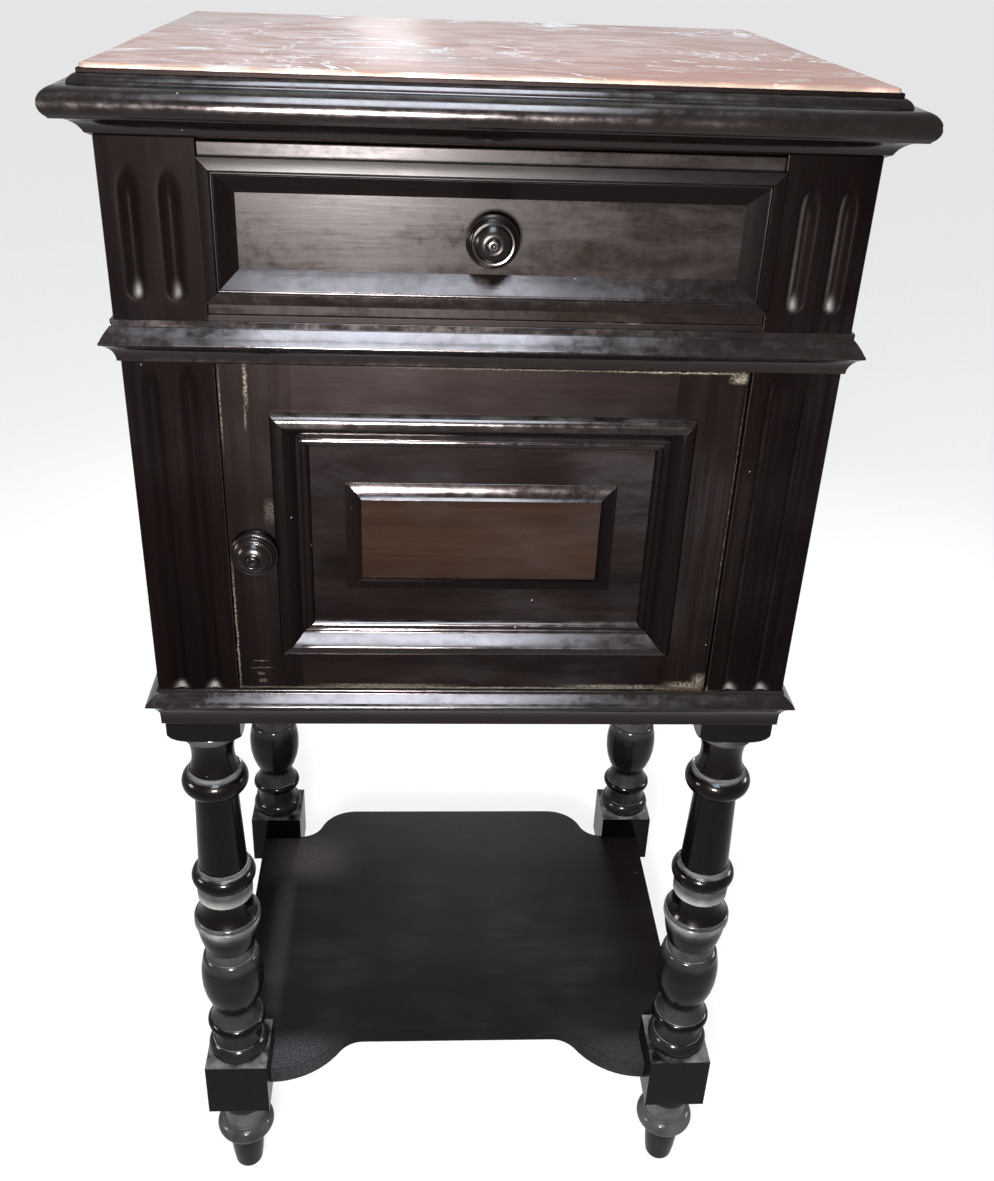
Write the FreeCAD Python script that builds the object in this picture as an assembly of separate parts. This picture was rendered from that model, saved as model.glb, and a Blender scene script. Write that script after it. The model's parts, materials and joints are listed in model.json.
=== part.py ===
import FreeCAD
import Part
import math
import os

# Bedside cabinet: millimetres, +Z up, front towards -Y, floor at Z = 0.

# Case, heights from the floor upwards
leg_height = 457.5
floor_thickness = 14.0
door_opening = 204.3
head_rail_height = 9.7
divider_thickness = 15.5
drawer_opening = 85.0
top_rail_height = 14.5
marble_thickness = 17.6

# Case, plan
case_width = 380.0
case_depth = 328.0
lower_setback = 1.2
pilaster_width = 47.4
frame_thickness = 22.0
side_thickness = 13.0
back_thickness = 8.0

# Marble slab
marble_proud = 2.1
marble_overhang = 2.2
marble_gap = 0.3
marble_arris = 1.7
cornice_back_thickness = 11.7

# Mouldings
cornice_overhang = 19.0
waist_overhang = 7.5
waist_height = 22.2
base_overhang = 7.3
base_height = 25.0

# Flutes
flute_width = 8.8
flute_depth = 3.3
upper_flute_margin = 10.5
lower_flute_margin = 3.0

# Legs and shelf
leg_block = 45.0
leg_side_inset = 0.9
leg_end_inset = 3.6
upper_block_height = 27.5
foot_height = 85.0
lower_block_height = 47.0
pommel_height = 5.0
dowel_diameter = 12.0
dowel_length = 34.0
dowel_rise = 9.0
shelf_thickness = 14.5
shelf_drop = 22.0
shelf_side_inset = 11.5
shelf_front_setback = 17.0
shelf_rear_setback = 2.6
shelf_wave = 36.0
shelf_front_curve = 68.0
shelf_rear_curve = 50.0

# Drawer
drawer_gap = 0.6
drawer_run_gap = 0.3
drawer_head_gap = 1.0
drawer_front_thickness = 20.0
drawer_side_thickness = 10.0
drawer_side_drop = 6.0
drawer_back_thickness = 10.0
drawer_bottom_thickness = 6.0
drawer_bottom_rise = 8.0
drawer_groove = 4.0
drawer_rear_room = 6.0
drawer_lap = 6.0
drawer_moulding_margin = 6.5
drawer_moulding_width = 16.8
drawer_moulding_height = 6.5
guide_height = 20.0
stop_length = 26.0
stop_depth = 10.0
stop_height = 5.0
stop_gap = 0.3

# Door
door_gap = 0.8
door_end_gap = 1.0
door_thickness = 20.0
door_frame_width = 38.0
tenon_thickness = 8.0
tenon_length = 24.0
tenon_shoulder = 7.0
panel_recess = 4.0
panel_thickness = 9.0
panel_tongue = 6.0
door_moulding_margin = 26.2
door_moulding_width = 20.0
door_moulding_height = 6.5
tablet_side_margin = 18.9
tablet_end_margin = 21.65
tablet_rise = 5.0
tablet_step = 1.2
tablet_bevel = 9.0
door_stop_height = 19.0
door_stop_depth = 9.0
door_stop_width = 180.0

# Pivots of the door
pivot_inset = 3.4
pivot_pin_diameter = 3.0
pivot_pin_rise = 6.5
pivot_clearance = 0.05
pivot_plate_thickness = 2.6
pivot_plate_length = 28.0
pivot_plate_width = 5.6

# Knobs and catch
knob_diameter = 26.0
knob_projection = 19.5
knob_spigot_diameter = 10.0
knob_lift = 0.3
door_knob_inset = 15.0
door_knob_height = 95.5
spindle_diameter = 7.0
spindle_clearance = 0.05
catch_thickness = 3.0
catch_width = 11.0
catch_length = 27.0
catch_gap = 0.5

# Shares of the drawer's corner joints
tail_count = 3
tail_neck_share = 0.46
tail_head_share = 0.62

# Shares of the shelf's curves taken by their round lobes
front_lobe_share = 0.74
rear_lobe_share = 0.62

# Places of the flutes across a pilaster, from its outer edge
flute_place_shares = (0.29, 0.7)

# Outlines: (across share, up share, bulge share of the edge that follows)
cornice_face_shares = (
    (0.06, 0.0, 0.0), (0.06, 0.04, 0.0), (0.16, 0.06, -0.16), (0.8, 0.31, 0.0),
    (0.83, 0.34, 0.39), (0.55, 0.775, 0.0), (0.39, 0.79, 0.17),
)
waist_face_shares = (
    (0.06, 0.0, -0.14), (0.86, 0.46, 0.0), (0.93, 0.47, 0.3), (0.76, 0.66, 0.0),
    (0.66, 0.67, -0.12), (0.3, 0.86, 0.14), (0.16, 1.0, 0.0),
)
base_face_shares = (
    (0.08, 0.0, -0.16), (0.8, 0.45, 0.0), (0.94, 0.47, 0.3), (0.94, 0.61, 0.0),
    (0.86, 0.63, -0.1), (0.36, 0.89, 0.0), (0.3, 0.9, 0.25), (0.18, 1.0, 0.0),
)
drawer_moulding_shares = (
    (0.0, 0.0, 0.0), (0.0, 0.36, 0.18), (0.3, 1.0, 0.12), (0.48, 0.8, 0.0), (0.48, 0.68, 0.0),
    (0.65, 0.62, -0.12), (0.96, 0.13, 0.0), (1.0, 0.13, 0.0), (1.0, 0.0, 0.0),
)
door_moulding_shares = (
    (0.0, 0.6, 0.2), (0.2, 1.0, 0.16), (0.48, 0.76, -0.13), (0.72, 0.34, 0.0),
    (0.76, 0.34, 0.0), (0.77, 0.28, 0.34), (0.99, 0.1, 0.0), (0.99, 0.0, 0.0),
)
knob_shares = (
    (0.82, 0.0, 0.0), (0.84, 0.09, 0.15), (0.78, 0.13, -0.2), (0.72, 0.25, 0.0), (0.84, 0.26, 0.3),
    (0.86, 0.38, 0.0), (0.97, 0.4, 0.2), (1.0, 0.53, 0.0), (0.93, 0.55, 0.12), (0.85, 0.67, 0.1),
    (0.8, 0.75, 0.0), (0.72, 0.74, 0.12), (0.33, 0.92, 0.0), (0.3, 0.89, 0.0), (0.26, 0.9, 0.2),
    (0.2, 1.0, 0.0), (0.11, 1.0, 0.0), (0.05, 0.96, 0.0), (0.0, 0.96, 0.0),
)

# Turnings of a leg from below: (height share, foot radius share, head radius share, bulge share)
column_shares = (
    (4.35, 0.82, 0.82, 0.25),   # base torus
    (4.5, 0.78, 0.76, -0.06),   # drum
    (2.85, 0.78, 0.78, 0.39),   # astragal
    (3.85, 0.82, 0.635, -0.05),  # cone under the egg
    (10.35, 0.635, 0.98, 0.07),  # egg
    (5.4, 0.98, 0.88, 0.034),   # its shoulder
    (1.5, 0.88, 0.78, 0.15),
    (3.0, 0.75, 0.75, 0.0),     # fillet under the cup
    (6.2, 0.78, 0.95, 0.03),    # cup
    (1.0, 0.95, 0.96, 0.0),
    (1.5, 0.96, 0.96, 0.3),     # two beads of the rim
    (1.3, 0.96, 0.96, 0.3),
    (5.7, 0.95, 0.78, -0.12),   # cavetto
    (2.5, 0.83, 0.84, 0.0),     # fillet under the lower ring
    (1.2, 0.84, 0.78, 0.0),
    (4.5, 0.75, 0.75, 0.35),    # lower ring
    (0.8, 0.77, 0.77, 0.0),
    (21.5, 0.73, 0.62, 0.0),    # tapered shaft
    (5.1, 0.74, 0.74, 0.32),    # upper ring
    (0.7, 0.74, 0.74, 0.0),
    (9.0, 0.7, 0.74, -0.1),     # scotia
    (2.0, 0.78, 0.78, 0.2),     # collar
    (1.0, 0.78, 0.75, 0.0),
)
foot_shares = (
    (5.3, 0.28, 0.47, 0.18),    # rounded toe
    (41.8, 0.47, 0.57, 0.02),   # taper
    (15.9, 0.72, 0.73, 0.385),  # flattened bulb
    (2.9, 0.78, 0.78, 0.0),     # fillet
    (21.2, 0.72, 0.76, -0.08),  # neck
    (11.8, 0.82, 0.82, 0.0),    # collar under the block
)

# Heights
floor_top = leg_height + floor_thickness
head_z = floor_top + door_opening
divider_bottom = head_z + head_rail_height
divider_top = divider_bottom + divider_thickness
drawer_head_z = divider_top + drawer_opening
marble_seat = drawer_head_z + top_rail_height
total_height = marble_seat + marble_thickness
cornice_top = total_height - marble_proud

# Plan
front_reach = max(cornice_overhang, knob_projection)
front_y = (front_reach - case_depth) / 2
back_y = front_y + case_depth
frame_back_y = front_y + frame_thickness
panel_front_y = back_y - back_thickness
upper_half = case_width / 2
upper_inner = upper_half - pilaster_width
inside_half = upper_half - side_thickness
lower_half = upper_half - lower_setback
lower_inner = lower_half - pilaster_width
lower_front_y = front_y + lower_setback

# Legs
leg_half = leg_block / 2
leg_x = lower_half - leg_side_inset - leg_half
front_leg_y = lower_front_y + leg_end_inset + leg_half
rear_leg_y = back_y - leg_end_inset - leg_half
lower_block_top = foot_height + lower_block_height
upper_block_bottom = leg_height - upper_block_height

# Drawer
drawer_half = upper_inner - drawer_gap
drawer_bottom_z = divider_top + drawer_run_gap
drawer_top_z = drawer_head_z - drawer_head_gap
drawer_side_top = drawer_top_z - drawer_side_drop
drawer_shoulder_y = front_y + drawer_front_thickness
drawer_rear_y = panel_front_y - drawer_rear_room
drawer_mid_z = (drawer_bottom_z + drawer_top_z) / 2

# Door
door_half = lower_inner - door_gap
door_bottom_z = floor_top + door_end_gap
door_top_z = head_z - door_end_gap
door_back_y = lower_front_y + door_thickness
door_opening_half = door_half - door_frame_width
panel_field_y = lower_front_y + panel_recess
tablet_half = door_half - door_moulding_margin - door_moulding_width - tablet_side_margin
tablet_bottom_z = door_bottom_z + door_moulding_margin + door_moulding_width + tablet_end_margin
tablet_top_z = door_top_z - door_moulding_margin - door_moulding_width - tablet_end_margin
pivot_x = door_half - pivot_inset
pivot_y = lower_front_y + pivot_inset
door_knob_x = door_knob_inset - door_half
door_knob_z = door_bottom_z + door_knob_height

quarter_bulge = (math.sqrt(2) - 1) / 2
half_bulge = 0.5


def vec(x, y, z):
    return FreeCAD.Vector(x, y, z)


def box(xs, ys, zs):
    return Part.makeBox(xs[1] - xs[0], ys[1] - ys[0], zs[1] - zs[0], vec(xs[0], ys[0], zs[0]))


# Face inside points (across, up, bulge); a bulge to the right of the way is positive.
def face_of(points, place):
    edges = []
    for (u0, v0, bulge), (u1, v1, _) in zip(points, points[1:] + points[:1]):
        start, end = place(u0, v0), place(u1, v1)
        if bulge == 0:
            edges.append(Part.LineSegment(start, end).toShape())
        else:
            middle = place((u0 + u1) / 2 + (v1 - v0) * bulge, (v0 + v1) / 2 - (u1 - u0) * bulge)
            edges.append(Part.Arc(start, middle, end).toShape())
    return Part.Face(Part.Wire(edges))


def straight(points):
    return [(u, v, 0) for u, v in points]


def scaled(shares, across, up, base):
    return [(u * across, base + v * up, bulge) for u, v, bulge in shares]


# Upright prism over a plan outline.
def plan_prism(points, z0, z1):
    face = face_of(points, lambda x, y: vec(x, y, z0))
    return face.extrude(vec(0, 0, z1 - z0))


def mirrored(shape):
    return shape.mirror(vec(0, 0, 0), vec(1, 0, 0))


# Body turned about a vertical axis at (x, y).
def turned_upright(points, x, y):
    face = face_of(points, lambda r, z: vec(x + r, y, z))
    return face.revolve(vec(x, y, 0), vec(0, 0, 1), 360)


# Body turned about an axis towards the front at (x, z).
def turned_forward(points, x, face_y, z):
    face = face_of(points, lambda r, out: vec(x + r, face_y - out, z))
    return face.revolve(vec(x, face_y, z), vec(0, 1, 0), 360)


# Front, left and right lengths of a moulding, mitred round the case front.
def wrapped_moulding(section, half, face_y, reach):
    outer = half + reach
    low = min(v for _, v, _ in section) - reach
    high = max(v for _, v, _ in section) + reach
    wedge = plan_prism(straight([
        (-outer, face_y - reach), (outer, face_y - reach),
        (half - reach, face_y + reach), (reach - half, face_y + reach),
    ]), low, high)
    long_front = face_of(section, lambda t, z: vec(-outer, face_y - t, z)).extrude(vec(2 * outer, 0, 0))
    long_side = face_of(section, lambda t, z: vec(half + t, face_y - reach, z))
    long_side = long_side.extrude(vec(0, back_y - face_y + reach, 0))
    right = long_side.cut(wedge)
    return long_front.common(wedge), mirrored(right), right


# Four mitred lengths of a moulding planted on a front, as one group.
def planted_frame(section, half, z0, z1, face_y, width, depth):
    far = face_y + depth
    lengths = []
    corners = ((-half, z1), (half, z1), (half, z0), (-half, z0))
    inner = ((width - half, z1 - width), (half - width, z1 - width),
             (half - width, z0 + width), (width - half, z0 + width))
    places = (
        (lambda u, v: vec(-half, face_y - v, z1 - u), vec(2 * half, 0, 0)),
        (lambda u, v: vec(half - u, face_y - v, z0), vec(0, 0, z1 - z0)),
        (lambda u, v: vec(-half, face_y - v, z0 + u), vec(2 * half, 0, 0)),
        (lambda u, v: vec(u - half, face_y - v, z0), vec(0, 0, z1 - z0)),
    )
    for side, (place, run) in enumerate(places):
        following = (side + 1) % len(places)
        outline = straight((corners[side], corners[following], inner[following], inner[side]))
        trapezoid = face_of(outline, lambda x, z: vec(x, far, z)).extrude(vec(0, -2 * (depth + width), 0))
        lengths.append(face_of(section, place).extrude(run).common(trapezoid))
    return Part.makeCompound(lengths)


def fluted_pilaster(inner, outer, face_y, zs, flute_zs):
    post = box((inner, outer), (face_y, frame_back_y), zs)
    radius = (flute_width ** 2 / 4 + flute_depth ** 2) / (2 * flute_depth)
    axis_y = face_y - radius + flute_depth
    low, high = flute_zs[0] + flute_width / 2, flute_zs[1] - flute_width / 2
    for share in flute_place_shares:
        x = outer - share * (outer - inner)
        groove = Part.makeCylinder(radius, high - low, vec(x, axis_y, low))
        for end in (low, high):
            groove = groove.fuse(Part.makeSphere(radius, vec(x, axis_y, end)))
        post = post.cut(groove)
    return post


def marble_slab():
    rear = back_y - cornice_back_thickness - marble_gap
    half = upper_half + marble_overhang
    slab = box((-half, half), (front_y - marble_overhang, rear), (marble_seat, total_height))
    top = max(slab.Faces, key=lambda face: face.CenterOfMass.z)
    return slab.makeFillet(marble_arris, top.Edges)


def cornice():
    inset = marble_overhang + marble_gap
    height = cornice_top - drawer_head_z
    face = scaled(cornice_face_shares, cornice_overhang, height, drawer_head_z)
    section = [(0, drawer_head_z, 0)] + face
    section += [(inset, cornice_top, 0), (inset, marble_seat, 0), (0, marble_seat, 0)]
    return wrapped_moulding(section, upper_half, front_y, cornice_overhang)


def cornice_back_rail():
    half = upper_half + marble_overhang + marble_gap
    return box((-half, half), (back_y - cornice_back_thickness, back_y), (marble_seat, cornice_top))


def waist():
    face = scaled(waist_face_shares, waist_overhang, waist_height, head_z)
    section = [(-lower_setback, head_z, 0)] + face
    section += [(0, head_z + waist_height, 0), (0, divider_bottom, 0), (-lower_setback, divider_bottom, 0)]
    return wrapped_moulding(section, upper_half, front_y, waist_overhang)


def base_moulding():
    bottom = floor_top - base_height
    face = scaled(base_face_shares, base_overhang, base_height, bottom)
    section = [(0, bottom, 0)] + face + [(0, floor_top, 0)]
    return wrapped_moulding(section, lower_half, lower_front_y, base_overhang)


# Half outline of a row of turnings stacked from a base height.
def turnings(shares, length, base):
    unit = length / sum(height for height, _, _, _ in shares)
    points = [(0, base, 0)]
    z = base
    for height, foot, head, bulge in shares:
        points.append((foot * leg_half, z, bulge))
        z += height * unit
        points.append((head * leg_half, z, 0))
    kept = [point for point, after in zip(points, points[1:]) if point[:2] != after[:2]]
    return kept + [points[-1], (0, z, 0)]


# Turned leg with its two square blocks, one piece of wood.
def leg(x, y):
    foot = turnings(foot_shares, foot_height, 0)
    column = turnings(column_shares, upper_block_bottom - lower_block_top, lower_block_top)
    corner = leg_half * math.sqrt(2)
    barrel = [(0, upper_block_bottom, 0), (leg_half, upper_block_bottom, quarter_bulge)]
    barrel += [(corner, upper_block_bottom + pommel_height, 0), (corner, leg_height, 0), (0, leg_height, 0)]
    square = ((x - leg_half, x + leg_half), (y - leg_half, y + leg_half))
    upper = box(*square, (upper_block_bottom, leg_height)).common(turned_upright(barrel, x, y))
    lower = box(*square, (foot_height, lower_block_top))
    body = upper.fuse([turned_upright(column, x, y), lower, turned_upright(foot, x, y)])
    return body.cut(dowel(x, y)).removeSplitter()


def dowel(x, y):
    bottom = leg_height + dowel_rise - dowel_length
    return Part.makeCylinder(dowel_diameter / 2, dowel_length, vec(x, y, bottom))


def leg_places():
    return [(x, y) for y in (front_leg_y, rear_leg_y) for x in (-leg_x, leg_x)]


# Shelf with ogee curves in its front and rear edges, notched round the lower blocks.
def shelf():
    top = lower_block_top - shelf_drop
    side = leg_x + leg_half - shelf_side_inset
    inner = leg_x - leg_half
    front = front_leg_y - leg_half + shelf_front_setback
    rear = rear_leg_y - leg_half + shelf_rear_setback
    front_flat = inner - shelf_front_curve
    rear_flat = inner - shelf_rear_curve
    front_bulge = math.tan(math.atan2(shelf_wave, shelf_front_curve) / 2) / 2
    rear_bulge = math.tan(math.atan2(shelf_wave, shelf_rear_curve) / 2) / 2
    front_lobe, front_rise = front_lobe_share * shelf_front_curve, front_lobe_share * shelf_wave
    rear_lobe, rear_rise = rear_lobe_share * shelf_rear_curve, (1 - rear_lobe_share) * shelf_wave
    front_turn = (inner - front_lobe, front + front_rise, front_bulge)
    rear_turn = (rear_flat + rear_lobe, rear + rear_rise, rear_bulge)
    right_front = [(front_flat, front + shelf_wave, -front_bulge), front_turn, (inner, front, 0)]
    right_side = [(inner, front_leg_y + leg_half, 0), (side, front_leg_y + leg_half, 0)]
    right_rear = [(side, rear_leg_y - leg_half, 0), (inner, rear_leg_y - leg_half, 0)]
    right_rear += [(inner, rear, -rear_bulge), rear_turn, (rear_flat, rear + shelf_wave, 0)]
    right = right_front + right_side + right_rear
    bulges = [bulge for _, _, bulge in right]
    left = [(-x, y, 0) for x, y, _ in reversed(right)]
    left = [(x, y, back) for (x, y, _), back in zip(left, bulges[-2::-1] + [0])]
    return plan_prism(right + left, top - shelf_thickness, top)


def drawer_stops():
    blocks = []
    for x in (-upper_half / 2, upper_half / 2):
        ys = (drawer_shoulder_y + stop_gap, drawer_shoulder_y + stop_gap + stop_depth)
        zs = (divider_top, divider_top + stop_height)
        blocks.append(box((x - stop_length / 2, x + stop_length / 2), ys, zs))
    return Part.makeCompound(blocks)


# Right drawer side with tails at both ends, drawn as one outline in side view.
def drawer_side():
    height = drawer_side_top - drawer_bottom_z
    pitch = height / tail_count
    front_end = front_y + drawer_lap
    rear_shoulder = drawer_rear_y - drawer_back_thickness
    front_edge, rear_edge = [], []
    for index in range(tail_count):
        middle = drawer_bottom_z + (index + 1 / 2) * pitch
        neck = tail_neck_share * pitch / 2
        head = tail_head_share * pitch / 2
        front_edge += [(drawer_shoulder_y, middle - neck), (front_end, middle - head)]
        front_edge += [(front_end, middle + head), (drawer_shoulder_y, middle + neck)]
        rear_edge += [(rear_shoulder, middle - neck), (drawer_rear_y, middle - head)]
        rear_edge += [(drawer_rear_y, middle + head), (rear_shoulder, middle + neck)]
    outline = [(drawer_shoulder_y, drawer_bottom_z)] + front_edge + [(drawer_shoulder_y, drawer_side_top)]
    outline += [(rear_shoulder, drawer_side_top)] + rear_edge[::-1] + [(rear_shoulder, drawer_bottom_z)]
    face = face_of(straight(outline), lambda y, z: vec(drawer_half - drawer_side_thickness, y, z))
    return face.extrude(vec(drawer_side_thickness, 0, 0))


def drawer_box():
    right = drawer_side()
    left = mirrored(right)
    inner = drawer_half - drawer_side_thickness + drawer_groove
    under = drawer_bottom_z + drawer_bottom_rise
    over = under + drawer_bottom_thickness
    bottom = box((-inner, inner), (drawer_shoulder_y - drawer_groove, drawer_rear_y), (under, over))
    wide = (-drawer_half, drawer_half)
    back = box(wide, (drawer_rear_y - drawer_back_thickness, drawer_rear_y), (over, drawer_side_top))
    front = box(wide, (front_y, drawer_shoulder_y), (drawer_bottom_z, drawer_top_z))
    bore = Part.makeCylinder(knob_spigot_diameter / 2, drawer_front_thickness,
                             vec(0, front_y, drawer_mid_z), vec(0, 1, 0))
    front = front.cut(left.fuse([right, bottom, bore]))
    back = back.cut(left.fuse(right))
    return front, left.cut(bottom), right.cut(bottom), back, bottom


def drawer_moulding():
    section = scaled(drawer_moulding_shares, drawer_moulding_width, drawer_moulding_height, 0)
    low = drawer_bottom_z + drawer_moulding_margin
    high = drawer_top_z - drawer_moulding_margin
    width, relief = drawer_moulding_width, drawer_moulding_height
    return planted_frame(section, drawer_half, low, high, front_y, width, relief)


def drawer_knob():
    head = [(0, 0, 0)] + scaled(knob_shares, knob_diameter / 2, knob_projection, 0)
    knob = turned_forward(head, 0, front_y, drawer_mid_z)
    spigot = Part.makeCylinder(knob_spigot_diameter / 2, drawer_front_thickness,
                               vec(0, front_y, drawer_mid_z), vec(0, 1, 0))
    return knob.fuse(spigot).removeSplitter()


# Pivot plate seen from above: round about the pin, straight towards the hinge side's middle.
def pivot_plate(z0):
    half = pivot_plate_width / 2
    tail = pivot_x - pivot_plate_length
    outline = [(tail, pivot_y - half, 0), (pivot_x, pivot_y - half, half_bulge),
               (pivot_x, pivot_y + half, 0), (tail, pivot_y + half, 0)]
    return plan_prism(outline, z0, z0 + pivot_plate_thickness)


def pivot_pin(z0, z1, clearance):
    return Part.makeCylinder(pivot_pin_diameter / 2 + clearance, z1 - z0, vec(pivot_x, pivot_y, z0))


def case_pivots():
    low_plate = pivot_plate(floor_top - pivot_plate_thickness)
    high_plate = pivot_plate(head_z)
    low = low_plate.fuse(pivot_pin(floor_top, door_bottom_z + pivot_pin_rise, 0))
    high = high_plate.fuse(pivot_pin(door_top_z - pivot_pin_rise, head_z, 0))
    return low.removeSplitter(), high.removeSplitter()


def door_plates():
    low = pivot_plate(door_bottom_z)
    high = pivot_plate(door_top_z - pivot_plate_thickness)
    return low, high


# Bores for the pins, a little deeper than the pins rise.
def pivot_bores():
    depth = pivot_pin_rise + door_end_gap
    low = pivot_pin(door_bottom_z, door_bottom_z + depth, pivot_clearance)
    high = pivot_pin(door_top_z - depth, door_top_z, pivot_clearance)
    return low.fuse(high)


def door_rail(z0, z1):
    body = box((-door_opening_half, door_opening_half), (lower_front_y, door_back_y), (z0, z1))
    reach = door_opening_half + tenon_length
    tenon_y = (lower_front_y + door_back_y - tenon_thickness) / 2
    tenon_zs = (z0 + tenon_shoulder, z1 - tenon_shoulder)
    tenon = box((-reach, reach), (tenon_y, tenon_y + tenon_thickness), tenon_zs)
    return body.fuse(tenon).removeSplitter()


# Panel with a raised tablet whose four edges are hollowed.
def door_panel():
    half = door_opening_half + panel_tongue
    low = door_bottom_z + door_frame_width - panel_tongue
    high = door_top_z - door_frame_width + panel_tongue
    board = box((-half, half), (panel_field_y, panel_field_y + panel_thickness), (low, high))
    x1, z0, z1 = tablet_half, tablet_bottom_z, tablet_top_z
    tablet = box((-x1, x1), (panel_field_y - tablet_rise, panel_field_y), (z0, z1))
    hollow = tablet_rise - tablet_step
    radius = (tablet_bevel ** 2 + hollow ** 2) / (2 * hollow)
    axis_y = panel_field_y - tablet_step - radius
    for x in (-x1, x1):
        tablet = tablet.cut(Part.makeCylinder(radius, z1 - z0, vec(x, axis_y, z0)))
    for z in (z0, z1):
        tablet = tablet.cut(Part.makeCylinder(radius, 2 * x1, vec(-x1, axis_y, z), vec(1, 0, 0)))
    return board.fuse(tablet).removeSplitter()


def door_frame():
    low_rail = door_rail(door_bottom_z, door_bottom_z + door_frame_width)
    high_rail = door_rail(door_top_z - door_frame_width, door_top_z)
    panel = door_panel()
    left = box((-door_half, -door_opening_half), (lower_front_y, door_back_y), (door_bottom_z, door_top_z))
    outline = [(door_opening_half, lower_front_y, 0), (pivot_x, lower_front_y, quarter_bulge),
               (door_half, pivot_y, 0), (door_half, door_back_y, 0), (door_opening_half, door_back_y, 0)]
    right = plan_prism(outline, door_bottom_z, door_top_z)
    low_plate, high_plate = door_plates()
    right = right.cut(low_plate.fuse([high_plate, pivot_bores(), low_rail, high_rail, panel]))
    bore = Part.makeCylinder(spindle_diameter / 2 + spindle_clearance, door_thickness,
                             vec(door_knob_x, lower_front_y, door_knob_z), vec(0, 1, 0))
    left = left.cut(low_rail.fuse([high_rail, panel, bore]))
    plates = Part.makeCompound([low_plate.cut(pivot_bores()), high_plate.cut(pivot_bores())])
    return left, right, low_rail.cut(panel), high_rail.cut(panel), panel, plates


def door_moulding():
    relief = panel_recess + door_moulding_height
    rebate = door_frame_width - door_moulding_margin
    section = scaled(door_moulding_shares, door_moulding_width, relief, -panel_recess)
    section += [(rebate, -panel_recess, 0), (rebate, 0, 0), (0, 0, 0)]
    low = door_bottom_z + door_moulding_margin
    high = door_top_z - door_moulding_margin
    half = door_half - door_moulding_margin
    return planted_frame(section, half, low, high, lower_front_y, door_moulding_width, relief)


def door_stop():
    ys = (frame_back_y, frame_back_y + door_stop_depth)
    half = door_stop_width / 2
    return box((-half, half), ys, (divider_bottom - door_stop_height, divider_bottom))


def door_knob():
    head = [(0, 0, 0)] + scaled(knob_shares, knob_diameter / 2, knob_projection - knob_lift, 0)
    return turned_forward(head, door_knob_x, lower_front_y - knob_lift, door_knob_z).cut(spindle())


def spindle():
    start = lower_front_y - knob_lift - knob_projection / 2
    end = frame_back_y + catch_gap + catch_thickness
    place = vec(door_knob_x, start, door_knob_z)
    return Part.makeCylinder(spindle_diameter / 2, end - start, place, vec(0, 1, 0))


# Catch plate on the inner end of the spindle, hanging down when released.
def catch():
    half = catch_width / 2
    y0 = frame_back_y + catch_gap
    tip = door_knob_z - catch_length + half
    outline = [(door_knob_x - half, tip, half_bulge), (door_knob_x + half, tip, 0),
               (door_knob_x + half, door_knob_z, half_bulge), (door_knob_x - half, door_knob_z, 0)]
    face = face_of(outline, lambda x, z: vec(x, y0, z))
    return face.extrude(vec(0, catch_thickness, 0)).cut(spindle())


def build_case(nodes):
    nodes["marble_top"] = marble_slab()
    nodes["cornice_front"], nodes["cornice_left"], nodes["cornice_right"] = cornice()
    nodes["cornice_back_rail"] = cornice_back_rail()
    nodes["waist_front"], nodes["waist_left"], nodes["waist_right"] = waist()
    nodes["base_front"], nodes["base_left"], nodes["base_right"] = base_moulding()
    frame_ys = (front_y, frame_back_y)
    board_ys = (frame_back_y, back_y)
    upper_zs = (divider_bottom, marble_seat)
    lower_zs = (floor_top, divider_bottom)
    nodes["top_rail"] = box((-upper_inner, upper_inner), frame_ys, (drawer_head_z, marble_seat))
    inside_ys = (frame_back_y, panel_front_y)
    nodes["top_board"] = box((-inside_half, inside_half), inside_ys, (drawer_head_z, marble_seat))
    nodes["back_panel"] = box((-inside_half, inside_half), (panel_front_y, back_y), (floor_top, marble_seat))
    upper_flutes = (head_z + waist_height + upper_flute_margin, drawer_head_z - upper_flute_margin)
    lower_flutes = (floor_top + lower_flute_margin, head_z - lower_flute_margin)
    upper = fluted_pilaster(upper_inner, upper_half, front_y, upper_zs, upper_flutes)
    lower = fluted_pilaster(lower_inner, lower_half, lower_front_y, lower_zs, lower_flutes)
    nodes["upper_left_pilaster"], nodes["upper_right_pilaster"] = mirrored(upper), upper
    nodes["lower_left_pilaster"], nodes["lower_right_pilaster"] = mirrored(lower), lower
    upper_side = box((inside_half, upper_half), board_ys, upper_zs)
    lower_side = box((inside_half, lower_half), board_ys, lower_zs)
    nodes["upper_left_side"], nodes["upper_right_side"] = mirrored(upper_side), upper_side
    nodes["lower_left_side"], nodes["lower_right_side"] = mirrored(lower_side), lower_side
    divider_zs = (divider_bottom, divider_top)
    nodes["drawer_rail"] = box((-upper_inner, upper_inner), frame_ys, divider_zs)
    nodes["drawer_divider"] = box((-inside_half, inside_half), inside_ys, divider_zs)
    guide = box((upper_inner, inside_half), inside_ys, (divider_top, divider_top + guide_height))
    nodes["left_drawer_guide"], nodes["right_drawer_guide"] = mirrored(guide), guide
    nodes["drawer_stops"] = drawer_stops()
    low_pivot, high_pivot = case_pivots()
    head_ys = (lower_front_y, frame_back_y)
    head = box((-lower_inner, lower_inner), head_ys, (head_z, divider_bottom))
    nodes["door_head_rail"] = head.cut(high_pivot)
    nodes["door_stop"] = door_stop()
    nodes["lower_pivot"], nodes["upper_pivot"] = low_pivot, high_pivot
    floor = box((-lower_half, lower_half), (lower_front_y, back_y), (leg_height, floor_top))
    dowels = [dowel(x, y) for x, y in leg_places()]
    nodes["cupboard_floor"] = floor.cut(low_pivot.fuse(dowels))
    nodes["leg_dowels"] = Part.makeCompound(dowels)


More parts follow.
